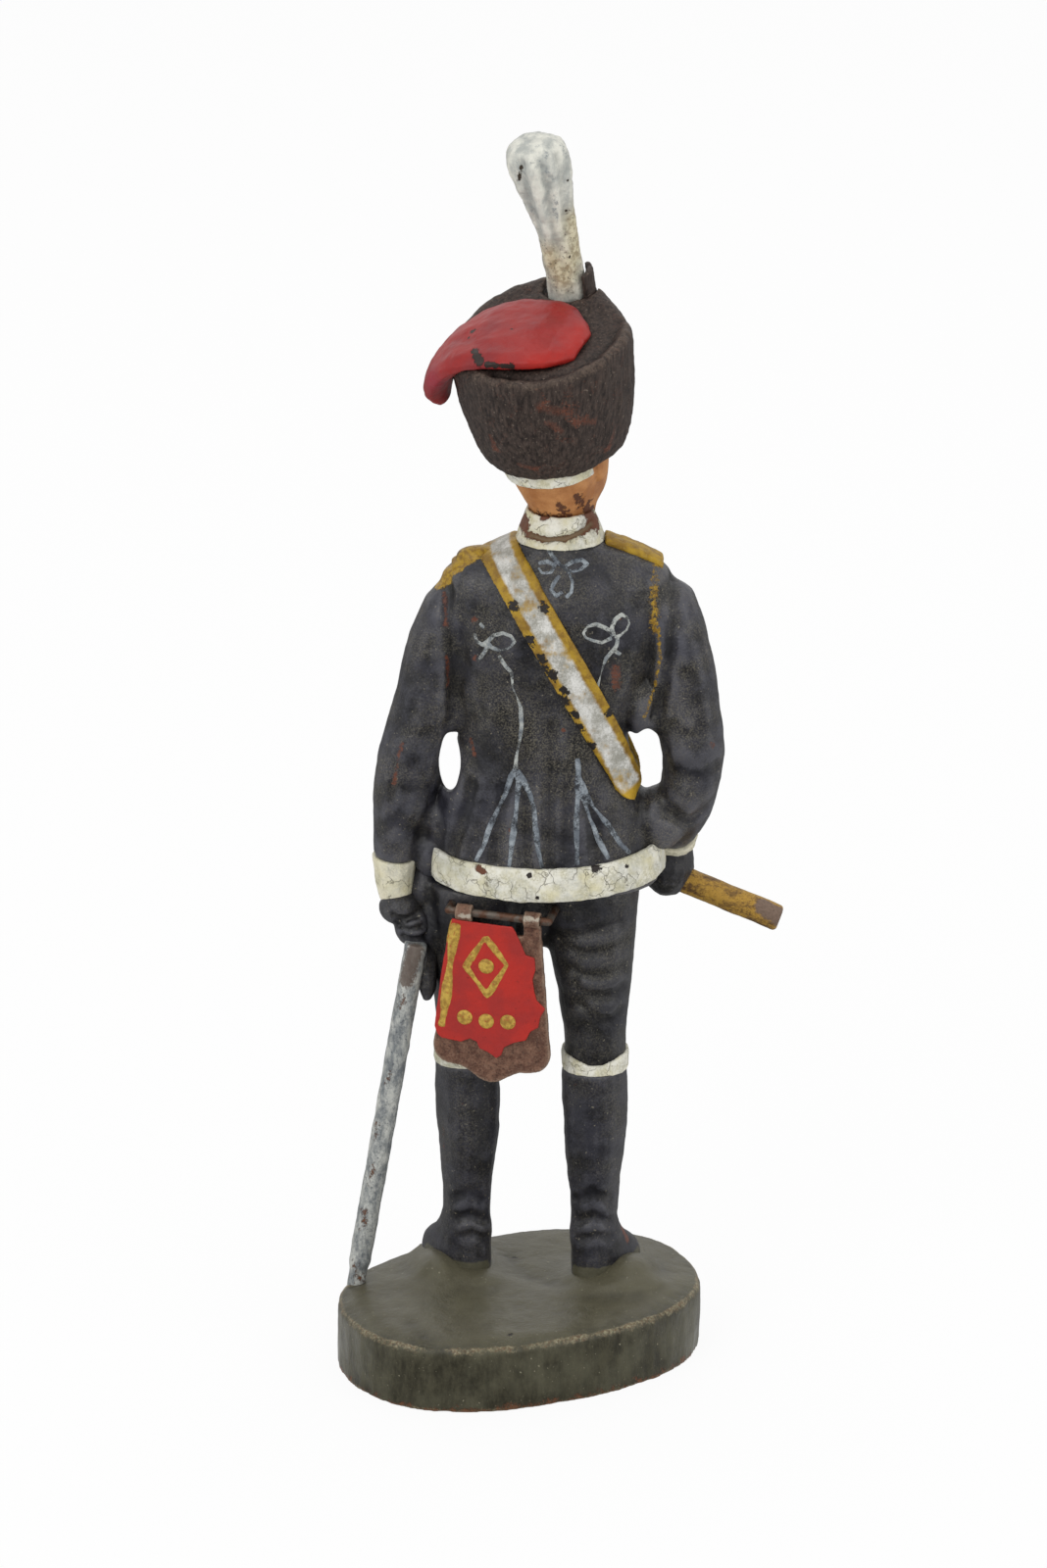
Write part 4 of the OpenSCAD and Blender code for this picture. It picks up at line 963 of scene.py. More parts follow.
# %% Base
mounds = [
    ((448, 1294), -3.4, (4.4, 3.6, 8.0)),
    ((446, 1310), -3.0, (9.5, 2.2, 9.5)),
    ((484, 1306), -0.8, (5.0, 1.6, 3.4)),
    ((640, 1294), -2.0, (4.4, 2.8, 7.0)),
    ((632, 1308), -1.2, (8.0, 1.7, 8.0)),
    ((604, 1317), 0.8, (5.2, 1.5, 3.4)),
]
soft_from, soft_over, soft_share, soft_rounds = 5.0, 0.3, 0.9, 60
top_from, top_over, foot_wear = 4.9, 0.4, 1.6
base_chips = [([(640, 1268)], 0.4), ([(525, 1283)], 0.3), ([(358, 1306)], 0.6), ([(520, 1362)], 0.3)]


def soften(piece, share, rounds):
    """Smooths a piece like wet dough, fully where share is 1 and not at all where it is 0."""
    points = points_of(piece)
    move_points(piece, points + (neighbour_mean(piece, points, rounds) - points) * share[:, None])


base = skin_over("painted_base", ["base"], grain=0.17, rounds=6, dough=mounds)
heights = points_of(base)[:, 2] / MM
soften(base, np.clip((heights - soft_from) / soft_over, 0, 1) * soft_share, soft_rounds)
lumps(base, (5, 0.22), (1.4, 0.1))
press(base, ([(420, 1350), (445, 1378)], 0.9, 0.16), ([(520, 1283), (535, 1300), (600, 1320)], 0.8, 0.1))
keep_relief(base, 22)
heights = points_of(base)[:, 2] / MM
keep_layer(base, "low", np.clip(1 - heights / foot_wear, 0, 1))
# Layer for the top face, which the finish paints lighter as painted light.
keep_layer(base, "top", np.clip((heights - top_from) / top_over, 0, 1))
stain(base, "chip", 0.6, *base_chips)
hand_over(base, "figure", "olive_base", olive_paint, "base")

# %% [markdown]
# ## Boots
# Riding boots, a little wrinkled at the ankle. The wrinkles are pressed along short paths that are read off
# the picture, so they fall where the ankle bends. The base's olive paint has climbed the feet.

# %% Boots
ankle_folds = {
    "left": [
        ([(464, 1222), (478, 1215), (492, 1226)], 0.5, 0.2),
        ([(466, 1244), (480, 1238), (494, 1247)], 0.5, 0.22),
        ([(470, 1262), (482, 1257), (495, 1263)], 0.45, 0.2),
        ([(470, 1232), (486, 1230)], 0.5, -0.1),
        ([(474, 1252), (490, 1254)], 0.45, -0.1),
    ],
    "right": [
        ([(588, 1224), (604, 1216), (622, 1226)], 0.5, 0.2),
        ([(590, 1246), (606, 1240), (622, 1248)], 0.5, 0.22),
        ([(592, 1264), (608, 1259), (622, 1264)], 0.45, 0.2),
        ([(598, 1234), (614, 1232)], 0.5, -0.1),
        ([(598, 1254), (612, 1253)], 0.45, -0.1),
    ],
}
olive_feet = {
    "left": [(436, 1276), (448, 1286), (464, 1294), (480, 1296), (494, 1294)],
    "right": [(588, 1299), (605, 1301), (625, 1298), (640, 1290), (651, 1280)],
}
calf_dust = {"left": [(470, 1118), (478, 1165)], "right": [(625, 1120), (630, 1150)]}
boot_chips = {
    "left": [([(452, 1150), (453, 1172)], 0.5, 0.5), ([(470, 1120), (474, 1136)], 0.5, 0.4)],
    "right": [([(634, 1252), (640, 1264)], 0.5, 0.75), ([(584, 1106), (598, 1106)], 0.4, 0.4)],
}
for side in ("left", "right"):
    boot = skin_over(side + "_painted_boot", [side + "_boot"], grain=0.13, rounds=14, swollen=0.04)
    press(boot, *ankle_folds[side])
    weather(boot, 14, (3, 0.3), (1.1, 0.07))
    for path, width, strength in boot_chips[side]:
        stain(boot, "chip", strength, (path, width))
    stain(boot, "olive", 1.0, (olive_feet[side], 0.75))
    stain(boot, "dust", 0.8, (calf_dust[side], 1.2))
    hand_over(boot, "figure", "painted_leather", boot_paint, side + "_boot")
    band = skin_over(side + "_painted_band", [side + "_boot_band"], grain=0.09, rounds=4, swollen=0.06)
    weather(band, 10, (0.9, 0.12))
    hand_over(band, "figure", "white_trim", trim_paint, side + "_boot_band")

# %% [markdown]
# ## Breeches
# The right leg shows soft folds behind the knee and thigh. Broad creases are pressed with raised folds
# between them, which is how a carver would have cut them into the mould. Eggs of dough fill the fork and the
# left hip.

# %% Breeches
fork_dough = [
    ((549, 922), -2.2, (5.6, 6.4, 4.8)),
    ((444, 930), -2.6, (3.2, 7.0, 3.8)),
    ((433, 903), -2.6, (2.6, 3.8, 3.0)),
]
knee_folds = [
    [(562, 948), (580, 955), (602, 952), (630, 940)],
    [(577, 966), (596, 973), (618, 970), (640, 958)],
    [(577, 984), (592, 994), (612, 996), (636, 986)],
    [(586, 1004), (600, 1014), (618, 1015), (636, 1006)],
    [(592, 1026), (606, 1036), (622, 1040), (634, 1030)],
]
ridge_right, ridge_down = 4, 11

breeches = skin_over("painted_breeches", ["breeches"], grain=0.16, rounds=14, swollen=0.05, dough=fork_dough)
for fold in knee_folds:
    ridge = [(x + ridge_right, y + ridge_down) for x, y in fold[1:]]
    press(breeches, (fold, 0.45, 0.2), (ridge, 0.35, -0.04))
weather(breeches, 16, (3, 0.2), (1.0, 0.06))
hand_over(breeches, "figure", "painted_cloth", breeches_paint, "breeches")

# %% [markdown]
# ## Jacket and sleeves
# Jacket and sleeves are one skin, because the dough runs through the armholes. Eggs of dough close the
# armpits and hips, and the two openings between arms and waist are cut through again at their true shape.
# Seams, pleats and folds are pressed in afterwards.

# %% Shape of the jacket
cord_foot_pixel, cord_foot_depth = (490, 567), -2.5
arm_dough = [
    ((656, 718), -1.8, (3.4, 4.6, 4.2)),
    ((672, 834), -2.2, (4.2, 4.8, 4.6)),
    ((461, 716), -2.2, (2.4, 4.4, 3.6)),
    ((449, 836), -2.4, (3.0, 3.8, 3.8)),
    ((440, 866), -2.4, (3.0, 4.0, 3.4)),
    (cord_foot_pixel, cord_foot_depth, (3.6, 1.7, 2.6)),
]
arm_openings = [((459, 777), -2.2, (1.55, 4.4, 22)), ((660, 773), -2.2, (2.15, 4.5, 22))]
armholes = [
    [(456, 589), (457, 605), (456, 637), (460, 664), (462, 704), (462, 735)],
    [(688, 590), (689, 610), (687, 640), (684, 665), (678, 695), (668, 730)],
]
skirt_pleats = [
    [(562, 740), (561, 800), (560, 885)],
    [(514, 808), (508, 840), (505, 880)],
    [(535, 815), (535, 850), (537, 885)],
    [(602, 820), (606, 850), (608, 880)],
    [(577, 805), (576, 850), (575, 885)],
    [(480, 800), (470, 840), (462, 868)],
]
sleeve_folds = [
    ([(388, 752), (410, 742), (440, 750)], 0.8, 0.14),
    ([(384, 812), (404, 800), (432, 806)], 0.8, 0.22),
    ([(384, 846), (406, 838), (432, 850)], 0.7, 0.2),
    ([(700, 690), (712, 730), (712, 768)], 0.8, 0.22),
    ([(684, 742), (704, 752), (728, 742)], 0.7, 0.24),
    ([(684, 790), (706, 792), (730, 782)], 0.7, 0.24),
    ([(680, 830), (700, 838), (718, 828)], 0.6, 0.22),
    ([(690, 770), (712, 772), (732, 764)], 0.6, -0.1),
    ([(684, 812), (704, 818), (724, 808)], 0.6, -0.1),
]
right_gold = [
    ([(667, 572), (667, 600), (668, 642)], 0.75),
    ([(672, 640), (673, 672), (668, 700), (658, 731)], 0.32),
]
jacket_nodes = ["jacket", "left_sleeve", "right_sleeve"]
jacket = skin_over(
    "painted_jacket", jacket_nodes, grain=0.16, rounds=22, swollen=0.06, dough=arm_dough, holes=arm_openings
)
press(jacket, *((seam, 0.5, 0.34) for seam in armholes))
press(jacket, *((pleat, 0.55, 0.28) for pleat in skirt_pleats))
press(jacket, *sleeve_folds)
lumps(jacket, (3.5, 0.3), (1.1, 0.07))
press(jacket, *((path, width, -0.1) for path, width in right_gold))
keep_relief(jacket, 18)
print("jacket and sleeves shaped")

# %% Wear on the jacket
jacket_chips = [
    ([(484, 632)], 0.57),
    ([(484, 671)], 0.608),
    ([(454, 606), (455, 640)], 0.418),
    ([(456, 670), (457, 698)], 0.418),
    ([(633, 629)], 0.475),
    ([(628, 682), (629, 700)], 0.76),
    ([(410, 760), (402, 800)], 0.38),
    ([(727, 760)], 0.475),
    ([(521, 847)], 0.38),
    ([(480, 755), (484, 770)], 0.38),
    ([(575, 745)], 0.38),
]
dusty_places = [
    ([(520, 720), (560, 770), (600, 760)], 2.4, 0.8),
    ([(545, 610), (600, 610)], 1.5, 0.5),
    ([(460, 700), (480, 740)], 1.5, 0.6),
    ([(650, 700), (700, 740)], 2.0, 0.7),
    ([(690, 830), (700, 870)], 1.2, 0.6),
]
left_gold = [(450, 592), (466, 577), (484, 562), (500, 550), (512, 545)]
cord_foot_width = 1.9

stain(jacket, "chip", 0.6, *jacket_chips)
for path, width, strength in dusty_places:
    stain(jacket, "dust", strength, (path, width))
stain(jacket, "gold", 1.0, (left_gold, 0.9))
cord_foot = at_depth(cord_foot_pixel, cord_foot_depth)
add_to_layer(jacket, "gold", soft_stroke(jacket, [cord_foot, cord_foot], cord_foot_width))
stain(jacket, "gold", 0.54, *right_gold)
hand_over(jacket, "figure", "painted_cloth", jacket_paint, *jacket_nodes)

# %% [markdown]
# ## White trims
# Hem, cuffs and collar are thick bands of dough, so they are remeshed finely, made lumpy, and cracked where
# the picture shows it. The hem's ends are lifted, as the skirt is pushed up by the arms.

# %% Hem
hem_lift_left, hem_lift_right = 0.5, 1.1
hem_chips = [([(608, 885)], 0.42), ([(540, 893)], 0.26), ([(548, 916)], 0.18), ([(640, 884)], 0.2)]

hem = skin_over("painted_hem", ["hem_trim"], grain=0.12, rounds=5, swollen=0.08)
hem_points = points_of(hem)
low_x, high_x = hem_points[:, 0].min(), hem_points[:, 0].max()
along = (hem_points[:, 0] - low_x) / (high_x - low_x) * 2 - 1
hem_points[:, 2] += along**2 * np.where(along > 0, hem_lift_left, hem_lift_right) * MM
move_points(hem, hem_points)
lumps(hem, (1.6, 0.24), (0.6, 0.06))
press(hem, ([(606, 882), (609, 890)], 0.35, 0.45))
keep_relief(hem, 12)
stain(hem, "chip", 0.7, *hem_chips)
stain(hem, "brown", 0.8, ([(488, 886), (494, 890)], 0.3))
stain(hem, "blue", 0.9, ([(450, 880), (470, 888)], 0.9))
hand_over(hem, "figure", "white_trim", trim_paint, "hem_trim")

# %% Cuffs
for side in ("left", "right"):
    cuff = skin_over(side + "_painted_cuff", [side + "_cuff"], grain=0.1, rounds=8, swollen=0.04)
    weather(cuff, 12, (1.6, 0.2))
    hand_over(cuff, "figure", "white_trim", cuff_paint, side + "_cuff")

# %% Collar
collar_foot, collar_top, collar_share = 62.6, 64.8, 0.86
collar_crack = [(540, 546), (556, 551), (576, 550), (594, 543), (606, 534)]
collar_wear = [
    ([(533, 528), (536, 536)], 0.675),
    ([(602, 524), (606, 532)], 0.9),
    ([(548, 524), (556, 527)], 0.45),
    ([(580, 522), (590, 520)], 0.525),
]


def taper(piece, low, high, share_low, share_high, spare=None):
    """Narrows a piece about its upright axis, from one share at a low level to another at a high one.
    The side that faces along spare is left as it is."""
    foot, fade = 1, 3
    points = points_of(piece)
    level = np.clip((points[:, 2] / MM - low) / (high - low), 0, 1)
    axis = points[points[:, 2] < (low + foot) * MM][:, :2].mean(axis=0)
    share = share_low + (share_high - share_low) * level
    if spare is not None:
        forward = (points[:, :2] - axis) @ np.array(spare[:2]) / MM
        share = 1 + (share - 1) * np.clip(0.5 - forward / fade, 0, 1)
    points[:, :2] = axis + (points[:, :2] - axis) * share[:, None]
    move_points(piece, points)


collar = skin_over("painted_collar", ["collar"], grain=0.1, rounds=5, swollen=0.02)
taper(collar, collar_foot, collar_top, 1.0, collar_share)
lumps(collar, (1.2, 0.2))
press(collar, (collar_crack, 0.3, 0.42))
keep_relief(collar, 12)
stain(collar, "brown", 0.8, (collar_crack, 0.34))
stain(collar, "brown", 0.85, *collar_wear)
hand_over(collar, "figure", "white_trim", trim_paint, "collar")

# %% [markdown]
# ## Belt and shoulder cords
# The belt ends where the arm meets the hip, on the front as on the back, so the low turn of the ring is cut
# off first. Its own plane is found from its points: of all directions, the one in which a ring spreads least
# is square to it. The distance from that plane tells the finish where the stripe runs.

# %% Shape of the belt
belt_bow, belt_wider = 0.45, 1.2
belt_end = (646, 815)
belt_run = [(560, 660), (640, 805)]
end_length, end_share = 1.5, 0.03
back_depth = 3

belt = copy_of("painted_belt", "pouch_belt")
belt_cut = on_surface(belt, [belt_end, belt_run[1]])[0]
upper, lower = on_surface(belt, belt_run)
belt_way = ((lower - upper) * Vector((1, 0, 1))).normalized()
belt_points = points_of(belt)
belt_middle = belt_points.mean(axis=0)
_, _, directions = np.linalg.svd(belt_points - belt_middle, full_matrices=False)
belt_square = directions[2] * np.sign(directions[2][0])
alone(belt)
bpy.ops.object.mode_set(mode="EDIT")
bpy.ops.mesh.select_all(action="SELECT")
bpy.ops.mesh.bisect(plane_co=belt_cut, plane_no=belt_way, use_fill=True, clear_outer=True)
bpy.ops.object.mode_set(mode="OBJECT")
swell(belt, 0.07)
even_net(belt, grain=0.1, rounds=6)

belt_points = points_of(belt)
from_end = -(belt_points - np.array(belt_cut)) @ np.array(belt_way) / MM
near_end = np.clip(1 - from_end / end_length, 0, 1)
sideways = (belt_points - belt_middle) @ belt_square
rounded = np.sqrt(np.clip(1 - near_end**2, end_share, 1))
wider = sideways * (belt_wider * rounded - 1)
move_points(belt, belt_points + wider[:, None] * belt_square)
offsets = np.abs((points_of(belt) - belt_middle) @ belt_square)
keep_layer(belt, "across", offsets / np.percentile(offsets, 99))

belt_points = points_of(belt)
share_up = (belt_points[:, 2] - belt_points[:, 2].min()) / np.ptp(belt_points[:, 2])
on_back = np.clip(belt_points[:, 1] / (back_depth * MM) + 1, 0, 1)
belt_points[:, 0] -= belt_bow * MM * np.sin(math.pi * share_up) * on_back
move_points(belt, belt_points)
print("belt cut, rounded at its ends and bowed")

# %% [markdown]
# The belt's chips lie along its edges. Each is given by its way up from the cut end, in millimetres, and its
# place across, from -1 at one edge to 1 at the other.

# %% Wear on the belt
belt_chips = [
    (14.8, 0.8), (13.3, 0.75), (11.9, 0.7), (10.5, 0.6), (9.7, 0.75), (8.5, 0.7), (7.4, 0.8),
    (5.5, 0.8), (7.3, -0.85), (16.5, -0.6), (17.5, 0.7), (10.0, 0.9), (12.6, 0.9),
]
chip_long, chip_wide, chip_strength = 0.55, 0.3, 0.62
bare_length = 1.4

weather(belt, 10, (1.3, 0.12))
keep_layer(belt, "bare", np.clip(bare_length - from_end, 0, 1))
# Brighter mustard towards the belt's lower end: painted highlight.
stain(belt, "painted_highlight", 1.0, ([(600, 760), (640, 812)], 0.8))
half_belt = np.percentile(np.abs(sideways), 99)
for up, across in belt_chips:
    spread = ((from_end - up) / chip_long) ** 2 + ((sideways / half_belt - across) / chip_wide) ** 2
    add_to_layer(belt, "chip", chip_strength * np.exp(-spread) * on_back)
hand_over(belt, "figure", "gold_belt", belt_paint, "pouch_belt")

# %% Shoulder cords
cord_drop = {"left": 0.3, "right": 0.0}
for side, drop in cord_drop.items():
    cord = skin_over(side + "_painted_cord", [side + "_shoulder_cord"], grain=0.08, rounds=40, swollen=0.16)
    move_points(cord, points_of(cord) - np.array([0, 0, drop * MM]))
    weather(cord, 8, (0.8, 0.14))
    hand_over(cord, "figure", "gold_belt", cord_paint, side + "_shoulder_cord")

# %% [markdown]
# ## Painted braid
# The braid on the back is drawn with a thin brush: three looped knots, two seams, and a fan of three lines on
# each side of the skirt. Each line is a bead of paint, a bevelled curve through points that lie on the
# jacket, sunk into it until only a low ridge stands.

# %% Painted braid
back_braid = {
    "centre_knot": [
        [(558, 559), (565, 569), (573, 578), (580, 584), (584, 594), (583, 604), (577, 610)],
        [(549, 575), (558, 573), (566, 577), (562, 584), (553, 585), (549, 579)],
        [(574, 579), (584, 573), (593, 571), (599, 575), (594, 580), (585, 583), (576, 581)],
        [(571, 587), (565, 595), (562, 602), (567, 608), (574, 604)],
    ],
    "left_knot": [
        [(497, 655), (504, 648), (513, 646), (521, 649), (525, 655), (520, 661), (511, 664), (502, 661),
         (497, 656)],
        [(484, 646), (486, 654), (492, 658), (497, 655)],
        [(489, 636), (494, 641)],
        [(498, 658), (493, 667), (487, 675)],
    ],
    "right_knot": [
        [(626, 648), (618, 641), (608, 637), (600, 639), (595, 646), (598, 651), (606, 654), (614, 656),
         (624, 651)],
        [(626, 648), (624, 641), (627, 633), (634, 627), (640, 630), (642, 636), (639, 643), (633, 648),
         (627, 651)],
        [(630, 651), (629, 659), (625, 664), (618, 672), (614, 684), (610, 699), (608, 708)],
        [(626, 664), (633, 668)],
    ],
    "left_seam": [
        [(509, 669), (515, 679), (522, 687), (523, 702), (527, 711), (531, 722), (532, 740), (530, 757),
         (527, 770), (526, 785)],
    ],
    "left_fan": [
        [(526, 785), (521, 793), (516, 809), (507, 828), (499, 845), (494, 861), (485, 879)],
        [(527, 787), (529, 797), (527, 824), (524, 848), (521, 871), (519, 887)],
        [(528, 786), (533, 794), (540, 809), (545, 826), (546, 845), (549, 867), (553, 886)],
    ],
    "right_fan": [
        [(589, 774), (590, 787), (589, 800), (589, 820), (588, 845), (589, 883)],
        [(591, 795), (593, 806), (601, 833), (611, 858), (621, 877)],
        [(590, 792), (595, 803), (605, 823), (620, 841), (633, 861), (643, 871)],
    ],
}
dull_lines = ("centre_knot", "left_fan", "right_fan")
fan_thick, knot_thick, braid_sink = 0.54, 0.46, 0.15


def brush_line(name, strokes, thick, sink, surface):
    """Beads of paint along strokes of pixels, joined into one piece. Sizes in millimetres."""
    step_pixels, faces_across = 3, 9
    curve = bpy.data.curves.new(name, "CURVE")
    curve.dimensions = "3D"
    curve.bevel_depth = thick / 2 * MM
    curve.bevel_resolution = 3
    curve.use_fill_caps = True
    for stroke in strokes:
        places = []
        for start, end in zip(stroke[:-1], stroke[1:]):
            steps = max(2, int(math.dist(start, end) / step_pixels))
            places += [tuple(np.array(start) + (np.array(end) - start) * k / steps) for k in range(steps)]
        places = on_surface(surface, places + [stroke[-1]], sink * MM)
        spline = curve.splines.new("POLY")
        spline.points.add(len(places) - 1)
        for k, (point, place) in enumerate(zip(spline.points, places)):
            point.co = (*place, 1)
            point.radius = 0.9 + 0.1 * math.sin(k * 0.37)
    line = bpy.data.objects.new(name, curve)
    bpy.context.scene.collection.objects.link(line)
    alone(line)
    bpy.ops.object.convert(target="MESH")
    line = bpy.context.object
    even_net(line, thick / faces_across, 4)
    return line


for name, strokes in back_braid.items():
    line = brush_line(name, strokes, fan_thick if "fan" in name else knot_thick, braid_sink, jacket)
    lumps(line, (1.6, 0.08))
    hand_over(line, "figure", "silver_braid", dull_braid if name in dull_lines else braid_paint)

# %% [markdown]
# ## Chest braid
# The front carries rows of cord across the chest. The frame has them as flat bars, and a fine skin turns them
# into rounded cords.

# %% Chest braid
chest = skin_over("painted_chest_braid", ["chest_braid"], grain=0.09, rounds=4, swollen=0.09)
keep_relief(chest, 6)
hand_over(chest, "figure", "silver_braid", braid_paint, "chest_braid")

# %% [markdown]
# ## Hands
# Both hands wear dark gloves. The left is a fist round the scabbard's mouth, so dough is added to its hand.

# %% Hands
fist_dough = [
    ((408, 926), -1.6, (3.0, 2.6, 3.2)),
    ((420, 944), -1.2, (2.6, 3.0, 2.8)),
    ((436, 985), -1.0, (1.6, 5.2, 2.2)),
]
knuckles = [
    ([(402, 934), (414, 938), (426, 934)], 0.28, 0.24),
    ([(406, 944), (418, 949), (431, 945)], 0.28, 0.24),
    ([(412, 955), (422, 958), (434, 955)], 0.28, 0.24),
]
for side, dough, folds in (("left", fist_dough, knuckles), ("right", [], [])):
    hand = skin_over(side + "_painted_hand", [side + "_hand"], grain=0.1, rounds=8, swollen=0.04, dough=dough)
    press(hand, *folds)
    weather(hand, 12, (1.4, 0.2))
    hand_over(hand, "figure", "painted_leather", glove_paint, side + "_hand")

# %% [markdown]
# ## Head
# The face is plain and calm, on the proportions of any drawing book: brow, foot of the nose and chin are a
# third apart. Eggs of dough make nose and chin, and dents the sockets and the mouth. Points of the face are
# found by rays from the front, at a level and a distance to one side of the nose.

# %% Shape of the head
bare_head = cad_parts["head"]
face_axis = points_of(bare_head)[:, :2].mean(axis=0)
front_points = points_of(bare_head)[:, :2] - face_axis
nose_way = front_points[np.argmax(-front_points[:, 1])]
nose_way = Vector((*nose_way, 0)).normalized()
face_side = nose_way.cross(Vector((0, 0, 1)))
eye_level, nose_level, mouth_level, chin_level = 69.15, 68.25, 67.15, 66.1
neck_level, cheek_level, neck_share = 64.5, 68.0, 0.8


def on_face(side, level, piece=bare_head):
    """The point of the face a distance to one side of the nose, at a level in millimetres."""
    far, missed = 20, 16
    start = Vector((*face_axis, level * MM)) + nose_way * far * MM + face_side * side * MM
    hit, place, _, _ = piece.ray_cast(start, -nose_way)
    return place if hit else start - nose_way * missed * MM


def face_dent(marks, width, depth):
    """Presses a crease into the face through marks given as side and level."""
    dent(head, [on_face(*mark, head) for mark in marks], width, depth)


features = [
    pellet(on_face(0, nose_level), (1.2, 1.3, 1.3)),
    pellet(on_face(0, eye_level - 0.3) - nose_way * 0.1 * MM, (0.8, 2.0, 1.0)),
    pellet(on_face(0, chin_level) - nose_way * 0.5 * MM, (2.6, 1.7, 1.9)),
]
head = skin_over("painted_head", ["head"], grain=0.1, rounds=6, swollen=0.02, eggs=features)
taper(head, neck_level, cheek_level, neck_share, 1.0, nose_way)
for turn in (-1, 1):
    face_dent([(0.85 * turn, eye_level), (1.6 * turn, eye_level)], 0.45, 0.2)
    face_dent([(1.5 * turn, nose_level - 0.3), (1.7 * turn, nose_level)], 0.7, -0.14)
face_dent([(-0.6, mouth_level), (0.6, mouth_level)], 0.16, 0.13)
face_dent([(-0.4, mouth_level - 0.5), (0.4, mouth_level - 0.5)], 0.25, 0.12)
weather(head, 12, (2, 0.08))
print("head shaped")

# %% [markdown]
# The painted features are layers too: whites, pupils, lids and brows, a blush, shade beside the nose and
# under the lips. The neck's paint has flaked.

# %% Paint on the head
eye_apart = 1.25
neck_flakes = [
    ([(552, 527), (578, 528)], 0.8),
    ([(540, 530), (552, 526)], 0.6),
    ([(598, 516), (606, 528)], 0.8),
    ([(588, 506), (593, 516)], 0.5),
    ([(570, 516), (576, 522)], 0.5),
]


def touch(layer, marks, width, strength=1.0):
    """A brush touch on the face through marks given as side and level, with a firmer edge than a stain."""
    brush_edge = 1.6
    path = [on_face(*mark, head) for mark in marks]
    share = far_from(points_of(head), path) / (width * MM)
    add_to_layer(head, layer, strength * np.clip(brush_edge - share, 0, 1))


for turn in (-1, 1):
    eye = eye_apart * turn
    touch("white", [(eye - 0.3, eye_level), (eye + 0.3, eye_level)], 0.15)
    touch("dark", [(eye, eye_level), (eye, eye_level + 0.03)], 0.15)
    lid = [(eye - 0.45, eye_level + 0.2), (eye, eye_level + 0.27), (eye + 0.45, eye_level + 0.2)]
    brow = [(eye - 0.5, eye_level + 0.52), (eye, eye_level + 0.64), (eye + 0.55, eye_level + 0.5)]
    touch("dark", lid, 0.06)
    touch("dark", brow, 0.09)
    touch("blush", [(eye * 1.2, nose_level - 0.35), (eye * 1.4, nose_level - 0.2)], 0.5, 0.8)
    touch("shade", [(0.5 * turn, eye_level - 0.3), (0.62 * turn, nose_level)], 0.12, 0.5)
touch("shade", [(-0.4, nose_level - 0.62), (0.4, nose_level - 0.62)], 0.12)
touch("shade", [(-0.4, mouth_level - 0.5), (0.4, mouth_level - 0.5)], 0.14, 0.6)
touch("lips", [(-0.6, mouth_level), (0, mouth_level + 0.05), (0.6, mouth_level)], 0.14)
stain(head, "chip", 0.52, *neck_flakes)
hand_over(head, "figure", "flesh", flesh_paint, "head")

nape = skin_over("painted_nape_band", ["nape_band"], grain=0.07, rounds=3, swollen=0.06)
weather(nape, 8, (0.8, 0.1))
hand_over(nape, "figure", "white_trim", trim_paint, "nape_band")

# %% [markdown]
# ## Fur cap, bag and plume
# The fur cap has a lip round its top, pressed here with a groove inside it. Its crown rises towards the
# plume, by a profile of places across and heights. The bag hangs over the lip.

# %% Fur cap
lip_groove = [(505, 380), (545, 385), (580, 377), (604, 364), (622, 346), (632, 326)]
lip_ridge = [(492, 388), (515, 394), (548, 396), (582, 389), (610, 376), (630, 358), (642, 336)]
crown_profile = [(-8.2, -0.7), (-6.6, 0.2), (-4.4, 1.25), (-3.0, 1.3), (1.0, 0.75), (5.0, -0.2)]
cap_wear = [
    ([(552, 415), (572, 420)], 0.8),
    ([(560, 432), (572, 440)], 0.5),
    ([(585, 432), (606, 430)], 0.5),
    ([(500, 445), (506, 458)], 0.4),
    ([(626, 440), (620, 458)], 0.4),
    ([(530, 474), (545, 478)], 0.4),
]


def raise_crown(piece, share):
    """Lifts the front of the crown towards the plume by a share of the profile."""
    level_from, level_over = 74, 4
    front_from, front_over = 1.0, 5.5
    points = points_of(piece)
    across, lift = zip(*crown_profile)
    upper = np.clip((points[:, 2] / MM - level_from) / level_over, 0, 1)
    front = np.clip((front_from - points[:, 1] / MM) / front_over, 0, 1)
    front = front * front * (3 - 2 * front)
    points[:, 2] += np.interp(points[:, 0] / MM, across, lift) * share * MM * upper * front
    move_points(piece, points)


cap = skin_over("painted_busby", ["busby"], grain=0.13, rounds=6, swollen=0.03)
raise_crown(cap, 1.0)
press(cap, (lip_groove, 0.5, 0.34), (lip_ridge, 0.4, -0.06))
weather(cap, 14, (1.6, 0.26), (0.5, 0.09))
stain(cap, "chip", 0.45, *cap_wear)
hand_over(cap, "figure", "brown_fur", fur_paint, "busby")

# %% Bag
bag_folds = [
    ([(470, 345), (490, 352), (520, 352)], 0.7, 0.16),
    ([(462, 375), (480, 368), (500, 366)], 0.6, 0.14),
]
bag_chips = [
    ([(484, 358), (490, 370)], 0.42),
    ([(496, 372), (522, 374)], 0.3),
    ([(478, 326), (482, 338)], 0.3),
    ([(478, 345)], 0.2),
    ([(522, 336)], 0.15),
]
bag = skin_over("painted_bag", ["busby_bag"], grain=0.11, rounds=14, swollen=0.05)
raise_crown(bag, 0.3)
press(bag, *bag_folds)
weather(bag, 14, (2.4, 0.26), (0.8, 0.06))
stain(bag, "chip", 0.7, *bag_chips)
stain(bag, "bloom", 1.0, ([(440, 390), (450, 350), (470, 330)], 1.2))
